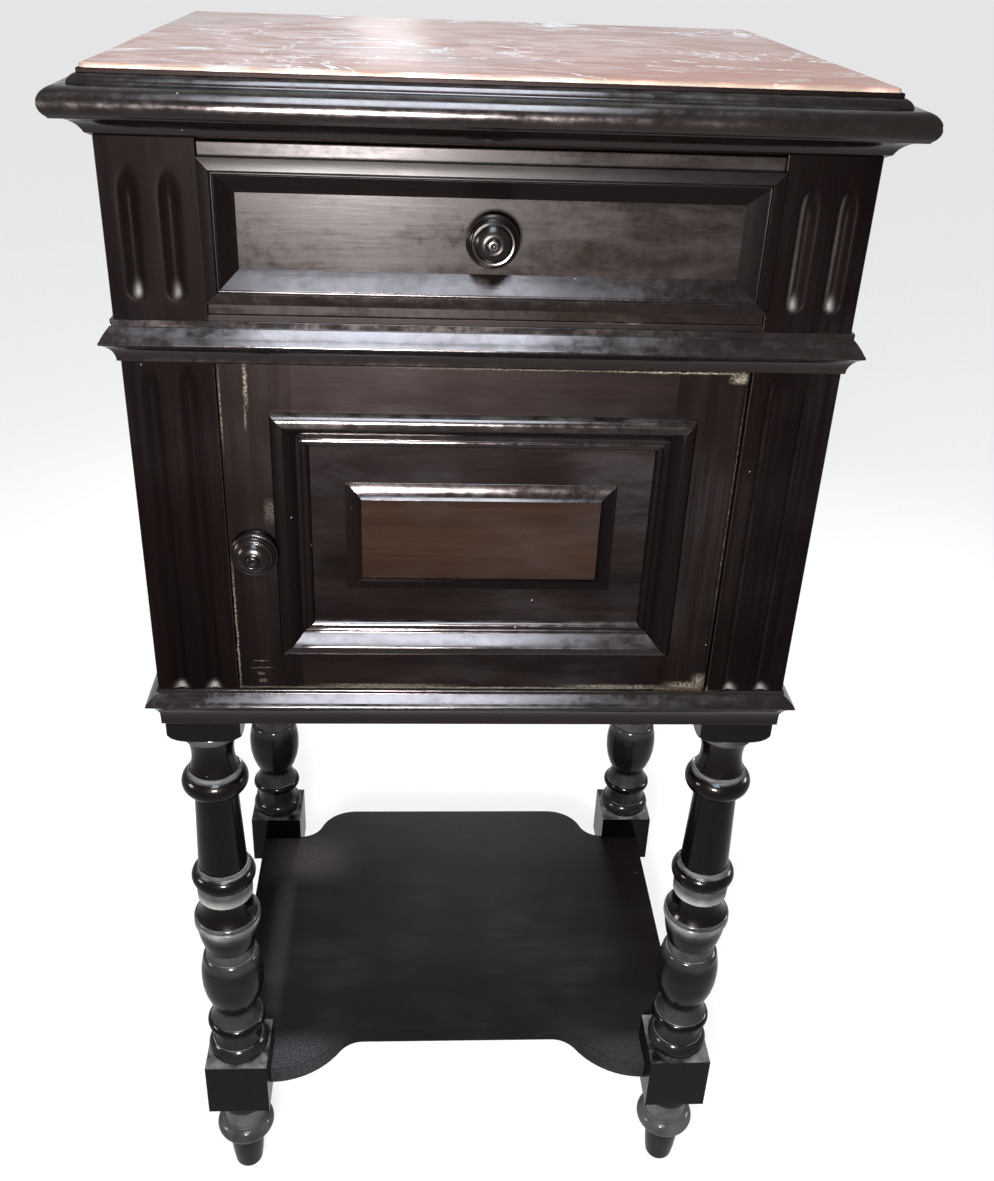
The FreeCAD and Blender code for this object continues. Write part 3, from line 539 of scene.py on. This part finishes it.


# The flute ends take dust and a painted highlight (dust, spotDrop, spotFoot and each level's spot); rimPlace
# and rimWidth place a painted highlight along one flute wall.
pilasterLook = {
    "flute": 8.8, "depth": 3.3, "soft": 1.2, "fade": (14.0, 0.35), "places": (0.29, 0.7), "step": 0.8,
    "arris": 0.5, "arrisAngle": 60, "sharpAngle": 50, "dust": 0.9, "spotDrop": 0.5, "spotFoot": 0.35,
    "rimPlace": -0.55, "rimWidth": 0.22,
}
# rim: strength of the painted highlight along a flute wall, used in the right pilasters only.
pilasterLevels = {
    "upper": {"between": ("waist_front", "cornice_front"), "margin": 10.5, "tail": 0.9, "spot": 0.35,
              "rim": 0.25},
    "lower": {"between": ("base_front", "waist_front"), "margin": -1.0, "tail": 0.5, "spot": 0.6,
              "rim": 0.05},
}


# Fluted pilaster: its section's front is pressed in by each flute. The depth falls with the square of the
# distance from the flute's centre line, counted round its lower end and slowly past its upper one, and the
# rim is softened as half the sum of the depth and the root of its square plus a small square. Dust and a
# painted highlight lie as a bell curve at the lower end of a flute, and a painted highlight runs along one
# rim of it in the right pilasters; both go into the dust attribute.
def flutedPilaster(level, side):
    node = level + "_" + side + "_pilaster"
    look = {**pilasterLook, **pilasterLevels[level]}
    low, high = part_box(node)
    under, above = look["between"]
    half = look["flute"] / 2 * mm
    margin = look["margin"] * mm + half
    start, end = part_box(under)[1].z + margin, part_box(above)[0].z - margin
    x = np.linspace(low.x, high.x, round((high.x - low.x) / mm / look["step"]))
    z = np.linspace(low.z, high.z, round((high.z - low.z) / mm / look["step"]))[:, None]
    fade, slope = look["fade"]
    past = np.maximum(np.maximum(start - z, (z - end + fade * mm) * slope), 0)
    rise = (z - start) / half + look["spotDrop"]
    # Dust and painted highlight at the lower end of each flute.
    endDustAndHighlight = look["dust"] * np.exp(-(rise / np.where(rise > 0, look["tail"], look["spotFoot"])) ** 2)
    # Painted highlight along one wall of each flute, right pilasters only.
    paintedRimHighlight = look["rim"] if side == "right" else 0
    pressed, laidDustAndHighlight = 0, 0
    for share in look["places"]:
        middle = high.x - share * (high.x - low.x) if side == "right" else low.x + share * (high.x - low.x)
        across = (x - middle) / half
        depth = look["depth"] * mm * (1 - across ** 2 - (past / half) ** 2)
        rim = paintedRimHighlight * np.exp(-((across - look["rimPlace"]) / look["rimWidth"]) ** 2)
        spot = endDustAndHighlight * np.exp(-(across / look["spot"]) ** 2)
        laidDustAndHighlight = np.maximum(laidDustAndHighlight, np.maximum(spot, np.clip(depth / mm, 0, 1) * rim))
        pressed = pressed + (depth + np.sqrt(depth ** 2 + (look["soft"] * mm) ** 2)) / 2
    front = np.stack([x + 0 * z, low.y + pressed, z + 0 * x], axis=2)
    back = front[:, [-1, 0]].copy()
    back[..., 1] = high.y
    points, dust = np.concatenate([front, back], axis=1), np.pad(laidDustAndHighlight, ((0, 0), (0, 2)))
    piece = gridObject(level + "Pilaster." + side, points, look["sharpAngle"], {"dust": dust})
    softenArrises(piece, look["arris"], look["arrisAngle"])
    standFor(piece, node, ebonies["upright"], ebonyArris)


for level in pilasterLevels:
    for side in ("left", "right"):
        flutedPilaster(level, side)
print("pilasters fluted")


# Rings of a section at the ends and mitres of its way round the case: left back, left front, right front and
# right back.
def wrappedRings(section, half, faceY, backY):
    out, up = section[:, 0], section[:, 1]
    places = ((-1, backY + 0 * out), (-1, faceY - out), (1, faceY - out), (1, backY + 0 * out))
    return [np.stack([side * (half + out), y, up], axis=1) for side, y in places]


# Faces from below: shares of the overhang and of the height, bulge. A seat is the inset and rise of a rebate.
wraps = {
    "cornice": {
        "overhang": 19.0, "seat": (2.5, 14.5), "setback": 0.0, "arris": 0.5, "fillet": 0.7,
        "carrier": "upper_right_pilaster",
        "face": [(0.0, 0.0, 0), (0.16, 0.06, -0.16), (0.8, 0.31, 0), (0.83, 0.34, 0.39), (0.55, 0.775, 0),
                 (0.39, 0.79, 0.17), (0.17, 0.93, 0)],
    },
    "waist": {
        "overhang": 7.5, "seat": (0.0, 9.7), "setback": 1.2, "arris": 0.45, "fillet": None,
        "carrier": "upper_right_pilaster",
        "face": [(0.06, 0.0, -0.14), (0.86, 0.44, 0), (0.95, 0.45, 0.2), (0.95, 0.52, 0), (0.9, 0.54, 0.03),
                 (0.26, 0.84, 0), (0.2, 0.84, 0), (0.2, 1.0, 0)],
    },
    "base": {
        "overhang": 7.3, "seat": None, "setback": 0.0, "arris": 0.45, "fillet": None,
        "carrier": "lower_right_pilaster",
        "face": [(0.08, 0.0, -0.16), (0.8, 0.6, 0), (0.94, 0.62, 0.3), (0.94, 0.7, 0), (0.9, 0.72, 0.02),
                 (0.2, 0.9, 0), (0.14, 0.9, 0), (0.14, 1.0, 0)],
    },
}
mouldingArcs = 16
wrapRows = 24


# Mouldings wrapped round the case: the section is carried along the left, front and right, mitred at the
# corners. The cornice ends below the marble's edge, and a thin fillet stands on it there.
def wrappedMoulding(kind):
    look = wraps[kind]
    low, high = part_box(kind + "_front")[0].z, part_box(kind + "_front")[1].z
    carrier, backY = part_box(look["carrier"]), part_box("back_panel")[1].y
    face = [(u * look["overhang"] * mm, low + v * (high - low), bulge) for u, v, bulge in look["face"]]
    back = look["setback"] * mm
    head = face[-1][1] if look["fillet"] else high
    seat = [(0, high, 0)]
    if look["seat"]:
        inset, rise = (value * mm for value in look["seat"])
        seat = [(inset, head, 0), (inset, low + rise, 0), (-back, low + rise, 0)]
    sections = {"Moulding": outlinePoints([(-back, low, 0)] + face + seat, mouldingArcs)}
    if look["fillet"]:
        front = inset + look["fillet"] * mm
        sections["Fillet"] = np.array([(inset, head), (front, head), (front, high), (inset, high)])
    for part, section in sections.items():
        rings = wrappedRings(section, carrier[1].x, carrier[0].y, backY)
        for side, start, end in zip(("left", "front", "right"), rings, rings[1:]):
            piece = carried(kind + part + "." + side, start, end, wrapRows)
            finish = "fillet" if part == "Fillet" else "mouldAcross" if side == "front" else "mouldDeep"
            softenArrises(piece, look["arris"] / (2 if part == "Fillet" else 1))
            standFor(piece, kind + "_" + side, ebonies[finish], ebonies[finish])


for kind in wraps:
    wrappedMoulding(kind)
print("wrapped mouldings carried")


# Sections from the outer edge: shares of the width and of the height, bulge.
frames = {
    "drawer": {
        "node": "drawer_moulding", "carrier": "drawer_front", "margin": (0.0, 6.5), "width": 16.8,
        "height": 6.5, "depth": 0.0, "rebate": None, "arris": 0.4, "top": "mouldHead", "bottom": "mouldFoot",
        "section": [(0.0, 0.0, 0), (0.0, 0.8, -0.02), (0.34, 0.95, 0), (0.36, 0.86, -0.4), (0.45, 0.9, 0),
                    (0.46, 0.92, 0.02), (1.0, 0.0, 0)],
    },
    "door": {
        "node": "door_moulding", "carrier": "door_left_stile", "margin": (26.2, 26.2), "width": 20.0,
        "height": 10.5, "depth": 4.0, "rebate": 11.8, "arris": 0.4, "top": "mouldAcross",
        "bottom": "mouldAcross",
        "section": [(0.0, 0.6, -0.2), (0.2, 1.0, 0), (0.34, 1.0, -0.05), (0.65, 0.34, 0), (0.75, 0.34, 0),
                    (0.76, 0.28, -0.34), (0.99, 0.1, 0), (0.99, 0.0, 0)],
    },
    "tablet": {
        "node": "door_panel", "carrier": "door_panel", "margin": (33.1, 35.85), "width": 9.0, "height": 5.0,
        "depth": 5.0, "rebate": None, "arris": 0.25, "top": "mouldAcross", "bottom": "mouldUpright",
        "section": [(0.0, 0.0, 0), (0.0, 0.24, 0.1), (1.0, 1.0, 0), (1.0, 0.0, 0)],
    },
}
frameRows = 16


# Planted frame: the section runs inward and forward from each corner and is carried to the next one, mitred.
def plantedFrame(kind):
    look = frames[kind]
    low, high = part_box(look["carrier"])
    half = abs(low.x) - look["margin"][0] * mm
    bottom, top = low.z + look["margin"][1] * mm, high.z - look["margin"][1] * mm
    depth = look["depth"] * mm
    width, height = look["width"] * mm, look["height"] * mm
    section = [(u * width, v * height - depth, bulge) for u, v, bulge in look["section"]]
    if look["rebate"]:
        section += [(look["rebate"] * mm, -depth, 0), (look["rebate"] * mm, 0, 0), (0, 0, 0)]
    section = outlinePoints(section, mouldingArcs)
    inward, forward = section[:, 0], low.y - section[:, 1]
    rings = []
    for side, z, way in ((-1, top, -1), (1, top, -1), (1, bottom, 1), (-1, bottom, 1)):
        rings.append(np.stack([side * (half - inward), forward, z + way * inward], axis=1))
    lengths = {"top": look["top"], "right": "mouldUpright", "bottom": look["bottom"], "left": "mouldUpright"}
    for (name, finish), start, end in zip(lengths.items(), rings, rings[1:] + rings[:1]):
        piece = carried(kind + "Frame." + name, start, end, frameRows)
        softenArrises(piece, look["arris"])
        standFor(piece, look["node"], ebonies[finish], ebonies[finish])


for kind in frames:
    plantedFrame(kind)
print("planted frames carried")


# Panel of the door: a flat board for the field, and the flat of the tablet within its sloping edges.
def raisedPanel():
    look = frames["tablet"]
    low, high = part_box("door_panel")
    field = low.y + look["height"] * mm
    inset = [(margin + look["width"]) * mm for margin in look["margin"]]
    blocks = {"panel": (field, high.y, 0, 0), "tablet": (low.y, field, *inset)}
    for kind, (front, back, side, end) in blocks.items():
        left, right = low.x + side, high.x - side
        ring = np.array([(left, front, 0), (right, front, 0), (right, back, 0), (left, back, 0)])
        foot, head = (np.array((0, 0, z)) for z in (low.z + end, high.z - end))
        piece = carried(kind + "Board", ring + foot, ring + head)
        standFor(piece, "door_panel", ebonies[kind])


raisedPanel()
print("panel raised")


knobLook = {
    "projection": 19.5, "radius": 13.0, "columns": 96, "lift": {"drawer": 0.0, "door": 0.3}, "arcs": 14,
    "arris": 0.15, "arrisAngle": 45, "sharpAngle": 40,
    # Outline from the foot: shares of the radius and of the projection, bulge
    "shares": [(0.0, 0.0, 0), (0.82, 0.0, 0), (0.84, 0.09, 0.15), (0.78, 0.13, -0.2), (0.72, 0.25, 0),
               (0.84, 0.26, 0.3), (0.86, 0.38, 0), (0.97, 0.4, 0.2), (1.0, 0.53, 0), (0.93, 0.55, 0.12),
               (0.85, 0.67, 0.1), (0.8, 0.75, 0), (0.72, 0.74, 0.12), (0.33, 0.92, 0), (0.3, 0.89, 0),
               (0.26, 0.9, 0.2), (0.2, 1.0, 0), (0.11, 1.0, 0), (0.05, 0.96, 0), (0.0, 0.96, 0)],
}


# Turned knob: radius and reach of the outline, swung round an axis that points to the front.
def turnedKnob(kind):
    low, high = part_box(kind + "_knob")
    radius = knobLook["radius"] * mm
    reach = (knobLook["projection"] - knobLook["lift"][kind]) * mm
    foot = low.y + reach
    corners = [(u * radius, v * reach, bulge) for u, v, bulge in knobLook["shares"]]
    outline = outlinePoints(corners, knobLook["arcs"])[1:-1]
    angle = np.linspace(0, 2 * math.pi, knobLook["columns"], endpoint=False)
    out = outline[:, :1]
    points = np.stack([(low.x + high.x) / 2 + out * np.cos(angle), foot - outline[:, 1:] + 0 * angle,
                       (low.z + high.z) / 2 + out * np.sin(angle)], axis=2)
    piece = gridObject(kind + "Knob", points, knobLook["sharpAngle"])
    softenArrises(piece, knobLook["arris"], knobLook["arrisAngle"])
    standFor(piece, kind + "_knob", ebonies["knob"], ebonies["knob"])


for kind in ("drawer", "door"):
    turnedKnob(kind)
print("knobs turned")


legLook = {
    "foot": 85.0, "lowerBlock": 47.0, "upperBlock": 27.5, "pommel": 5.0, "block": 45.0, "columns": 128,
    "arcs": 14, "arris": 0.5, "sharpAngle": 30,
    # Turnings from below: (height share, foot radius share, head radius share, bulge share, dust share)
    "footTurnings": [
        (5.3, 0.28, 0.47, 0.18, 0.05), (41.8, 0.47, 0.57, 0.02, 0.05), (15.9, 0.72, 0.73, 0.385, 0.28),
        (2.9, 0.78, 0.78, 0, 0.35), (21.2, 0.72, 0.76, -0.08, 0.38), (11.8, 0.82, 0.82, 0, 0.05)],
    "columnTurnings": [
        (4.35, 0.82, 0.82, 0.25, 0.03), (4.5, 0.78, 0.76, -0.06, 0.04), (2.85, 0.78, 0.78, 0.39, 0.0),
        (3.85, 0.82, 0.635, -0.05, 0.08), (10.35, 0.635, 0.98, 0.07, 0.01), (5.4, 0.98, 0.88, 0.034, 0.02),
        (1.5, 0.88, 0.78, 0.15, 0.08), (3.0, 0.75, 0.75, 0, 0.16), (6.2, 0.78, 0.95, 0.03, 0.01),
        (1.0, 0.95, 0.96, 0, 0.1), (1.5, 0.96, 0.96, 0.3, 0.5), (1.3, 0.96, 0.96, 0.3, 0.15),
        (5.7, 0.95, 0.78, -0.12, 0.0), (2.5, 0.83, 0.84, 0, 0.9), (1.2, 0.84, 0.78, 0, 0.2),
        (4.5, 0.75, 0.75, 0.35, 0.0), (0.8, 0.77, 0.77, 0, 0.3), (21.5, 0.73, 0.62, 0, 0.0),
        (5.1, 0.74, 0.74, 0.32, 0.0), (0.7, 0.74, 0.74, 0, 0.3), (9.0, 0.7, 0.74, -0.1, 0.0),
        (2.0, 0.78, 0.78, 0.2, 0.1), (1.0, 0.78, 0.75, 0, 0.1)],
}


# Outline of a row of turnings, with the dust share of the turning that each point belongs to.
def turningRun(rows, half, base, length):
    unit = length / sum(row[0] for row in rows)
    points, dust = [], []
    for height, footShare, headShare, bulge, share in rows:
        head = base + height * unit
        run = outlinePoints([(footShare * half, base, bulge), (headShare * half, head, 0)], legLook["arcs"])
        points.append(run)
        dust.append(np.full(len(run), share))
        base = head
    points, dust = np.concatenate(points), np.concatenate(dust)
    kept = np.append(np.abs(np.diff(points, axis=0)).max(axis=1) > weldReach, True)
    return points[kept], dust[kept]


# Leg in polar form: at each height the radius is the turned outline or the square block, whichever is nearer
# the axis, and the square's radius is half its side over the larger of cosine and sine.
def turnedLeg(node):
    low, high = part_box(node)
    half, top = legLook["block"] / 2 * mm, high.z
    corner = half * math.sqrt(2)
    footTop = legLook["foot"] * mm
    blockTop = footTop + legLook["lowerBlock"] * mm
    upper = top - legLook["upperBlock"] * mm
    foot, footDust = turningRun(legLook["footTurnings"], half, 0, footTop)
    column, columnDust = turningRun(legLook["columnTurnings"], half, blockTop, upper - blockTop)
    block = np.array([(corner, footTop), (corner, blockTop)])
    quarterRound = (math.sqrt(2) - 1) / 2
    shoulder = upper + legLook["pommel"] * mm
    corners = [(half, upper, quarterRound), (corner, shoulder, 0), (corner, top, 0)]
    pommel = outlinePoints(corners, legLook["arcs"])
    outline = np.concatenate([foot, block, column, pommel])
    dust = np.concatenate([footDust, np.zeros(len(block)), columnDust, np.zeros(len(pommel))])
    angle = np.linspace(0, 2 * math.pi, legLook["columns"], endpoint=False)
    square = half / np.maximum(np.abs(np.cos(angle)), np.abs(np.sin(angle)))
    radius = np.minimum(outline[:, :1], square)
    x = (low.x + high.x) / 2 + radius * np.cos(angle)
    y = (low.y + high.y) / 2 + radius * np.sin(angle)
    points = np.stack([x, y, outline[:, 1:] + 0 * angle], axis=2)
    piece = gridObject(node.replace("_", "."), points, legLook["sharpAngle"], {"dust": dust[:, None]})
    softenArrises(piece, legLook["arris"])
    standFor(piece, node, ebonies["turned"], ebonyArris)


for node in ("front_left_leg", "front_right_leg", "rear_left_leg", "rear_right_leg"):
    turnedLeg(node)
print("legs turned")


slabLook = {
    "corner": 2.5, "cornerSteps": 8, "arris": (1.2, 1.7), "arrisSteps": 9, "perEdge": 150, "sharpAngle": 40,
    # Waves along the edge: height, count round the slab, phase
    "waves": [(0.25, 7, 1), (0.15, 23, 2), (0.1, 61, 0)],
}


# Marble slab: a section of the edge carried round a rectangle with small round corners; the top arris is a
# quarter round whose radius wanders along the edge as a sum of slow waves.
def marbleSlab():
    low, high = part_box("marble_top")
    corner = slabLook["corner"] * mm
    cornerTurn = np.linspace(0, math.pi / 2, slabLook["cornerSteps"])
    places = ((high.x, high.y, 0), (low.x, high.y, 1), (low.x, low.y, 2), (high.x, low.y, 3))
    arcs = []
    for x, y, quarter in places:
        turn = cornerTurn + quarter * math.pi / 2
        centre = (x - math.copysign(corner, x), y - corner if y == high.y else y + corner)
        arcs.append(np.stack([centre[0] + corner * np.cos(turn), centre[1] + corner * np.sin(turn),
                              np.cos(turn), np.sin(turn)], axis=1))
    share = np.linspace(0, 1, slabLook["perEdge"])[1:-1, None]
    runs = []
    for arc, after in zip(arcs, arcs[1:] + arcs[:1]):
        runs += [arc, arc[-1] + share * (after[0] - arc[-1])]
    rim = np.concatenate(runs)
    place, outward = rim[:, :2], rim[:, 2:]
    step = np.linspace(0, 2 * math.pi, len(rim), endpoint=False)
    wander = 0.5 + sum(height * np.sin(count * step + phase) for height, count, phase in slabLook["waves"])
    least, most = slabLook["arris"]
    arris = (least + (most - least) * wander) * mm
    turn = np.linspace(0, math.pi / 2, slabLook["arrisSteps"])[:, None]
    inset = np.concatenate([np.zeros((1, len(rim))), arris * (1 - np.cos(turn))])
    rise = np.concatenate([np.full((1, len(rim)), low.z), high.z - arris * (1 - np.sin(turn))])
    flat = place[None] - inset[..., None] * outward[None]
    piece = gridObject("marbleSlab", np.concatenate([flat, rise[..., None]], axis=2), slabLook["sharpAngle"])
    standFor(piece, "marble_top", marble)


marbleSlab()
print("marble laid")


stageLook = {
    "floor": (0.62, 0.61, 0.60), "half": 30.0, "white": 0.75, "glow": 1.0, "world": 0.22, "sky": 0.80,
}


# One where a ray comes from the camera, a mirror or a glass, so that the pale ground looks the same in all of
# them.
def seenDirectly(tree):
    path = addNode(tree, "ShaderNodeLightPath")
    seen = path.outputs["Is Camera Ray"]
    for ray in ("Is Glossy Ray", "Is Transmission Ray"):
        seen = calc(tree, "MAXIMUM", seen, path.outputs[ray])
    return seen


# Pale floor: a plain matt surface, part of its brightness its own so that it stays pale far away.
def paleFloor():
    side = stageLook["half"]
    mesh = bpy.data.meshes.new("floor")
    corners = [(-side, -side, 0), (side, -side, 0), (side, side, 0), (-side, side, 0)]
    mesh.from_pydata(corners, [], [(0, 1, 2, 3)])
    floor = bpy.data.objects.new("floor", mesh)
    bpy.context.scene.collection.objects.link(floor)
    material, tree, _ = startMaterial("paleFloor")
    matt = addNode(tree, "ShaderNodeBsdfDiffuse", {"Color": (*stageLook["floor"], 1)})
    glow = addNode(tree, "ShaderNodeEmission", {"Color": (1, 1, 1, 1), "Strength": stageLook["glow"]})
    share = times(tree, seenDirectly(tree), stageLook["white"])
    mixed = addNode(tree, "ShaderNodeMixShader", {0: share, 1: matt.outputs[0], 2: glow.outputs[0]})
    output = addNode(tree, "ShaderNodeOutputMaterial")
    tree.links.new(mixed.outputs[0], output.inputs["Surface"])
    dress(floor, material)


# Even white surroundings, brighter where they are seen than in the light they give.
def softWorld():
    world = bpy.data.worlds.new("studio")
    bpy.context.scene.world = world
    world.use_nodes = True
    tree = world.node_tree
    tree.nodes.clear()
    strength = ramp(tree, seenDirectly(tree), 0, 1, stageLook["world"], stageLook["sky"])
    glow = addNode(tree, "ShaderNodeBackground", {"Color": (1, 1, 1, 1), "Strength": strength})
    output = addNode(tree, "ShaderNodeOutputWorld")
    tree.links.new(glow.outputs[0], output.inputs["Surface"])


# Soft boxes: place and aim in metres, width and length, spread in degrees.
lamps = {
    "frontSoftbox": {"place": (-0.105, -0.80, 0.74), "aim": (0.0, -0.15, 0.68), "size": (0.14, 0.14),
                     "watts": 26, "spread": 100, "colour": (0.97, 0.98, 1.0)},
    "leftSoftbox": {"place": (-1.5, -0.35, 0.8), "aim": (0.0, 0.0, 0.4), "size": (0.35, 0.35),
                    "watts": 10, "spread": 120, "colour": (1.0, 0.99, 0.97)},
    "rightSoftbox": {"place": (1.6, 0.3, 0.8), "aim": (0.0, 0.0, 0.4), "size": (0.4, 0.4),
                     "watts": 10, "spread": 120, "colour": (1.0, 0.99, 0.97)},
    "backSoftbox": {"place": (0.1, 1.9, 0.45), "aim": (0.0, 0.1, 0.5), "size": (0.4, 0.4),
                    "watts": 14, "spread": 110, "colour": (1.0, 0.99, 0.97)},
    "topSoftbox": {"place": (-0.05, -0.70, 2.0), "aim": (0.0, 0.0, 0.6), "size": (0.5, 1.1),
                   "watts": 35, "spread": 120, "colour": (0.68, 0.84, 1.0)},
    "rearSoftbox": {"place": (-0.11, 2.0, 1.1), "aim": (0.0, 0.1, 0.75), "size": (0.14, 0.14),
                    "watts": 0.14, "spread": 120, "colour": (1.0, 1.0, 1.0)},
}


def hangLamps():
    for name, look in lamps.items():
        data = bpy.data.lights.new(name, "AREA")
        data.shape = "RECTANGLE"
        data.size, data.size_y = look["size"]
        data.energy = look["watts"]
        data.color = look["colour"]
        data.spread = math.radians(look["spread"])
        lamp = bpy.data.objects.new(name, data)
        lamp.location = look["place"]
        ray = Vector(look["aim"]) - Vector(look["place"])
        lamp.rotation_euler = ray.to_track_quat("-Z", "Y").to_euler()
        bpy.context.scene.collection.objects.link(lamp)


# Camera solved from the photograph: pixels of an image of 994 by 1181, degrees, metres.
lens = {
    "focal": 1199.1, "centre": (483.4, 565.5), "image": (994, 1181), "pitch": 28.549, "yaw": 3.581,
    "roll": 2.25, "place": (-0.03528, -0.75276, 0.88423), "sensor": 36, "clip": (0.01, 200),
}


def placeCamera():
    data = bpy.data.cameras.new("camera")
    camera = bpy.data.objects.new("camera", data)
    bpy.context.scene.collection.objects.link(camera)
    pitch, yaw, roll = (math.radians(lens[key]) for key in ("pitch", "yaw", "roll"))
    forward = Vector((math.sin(yaw) * math.cos(pitch), math.cos(yaw) * math.cos(pitch), -math.sin(pitch)))
    level = Vector((math.cos(yaw), -math.sin(yaw), 0))
    upright = level.cross(forward)
    right = math.cos(roll) * level + math.sin(roll) * upright
    up = math.cos(roll) * upright - math.sin(roll) * level
    turn = Matrix((right, up, -forward)).transposed().to_4x4()
    camera.matrix_world = Matrix.Translation(lens["place"]) @ turn
    width, height = lens["image"]
    data.sensor_width = lens["sensor"]
    data.lens = lens["focal"] / height * data.sensor_width
    data.shift_x = (width / 2 - lens["centre"][0]) / height
    data.shift_y = (lens["centre"][1] - height / 2) / height
    data.clip_start, data.clip_end = lens["clip"]
    bpy.context.scene.camera = camera


paleFloor()
softWorld()
hangLamps()
placeCamera()
bpy.context.scene.view_settings.view_transform = "Standard"
print("stage set")
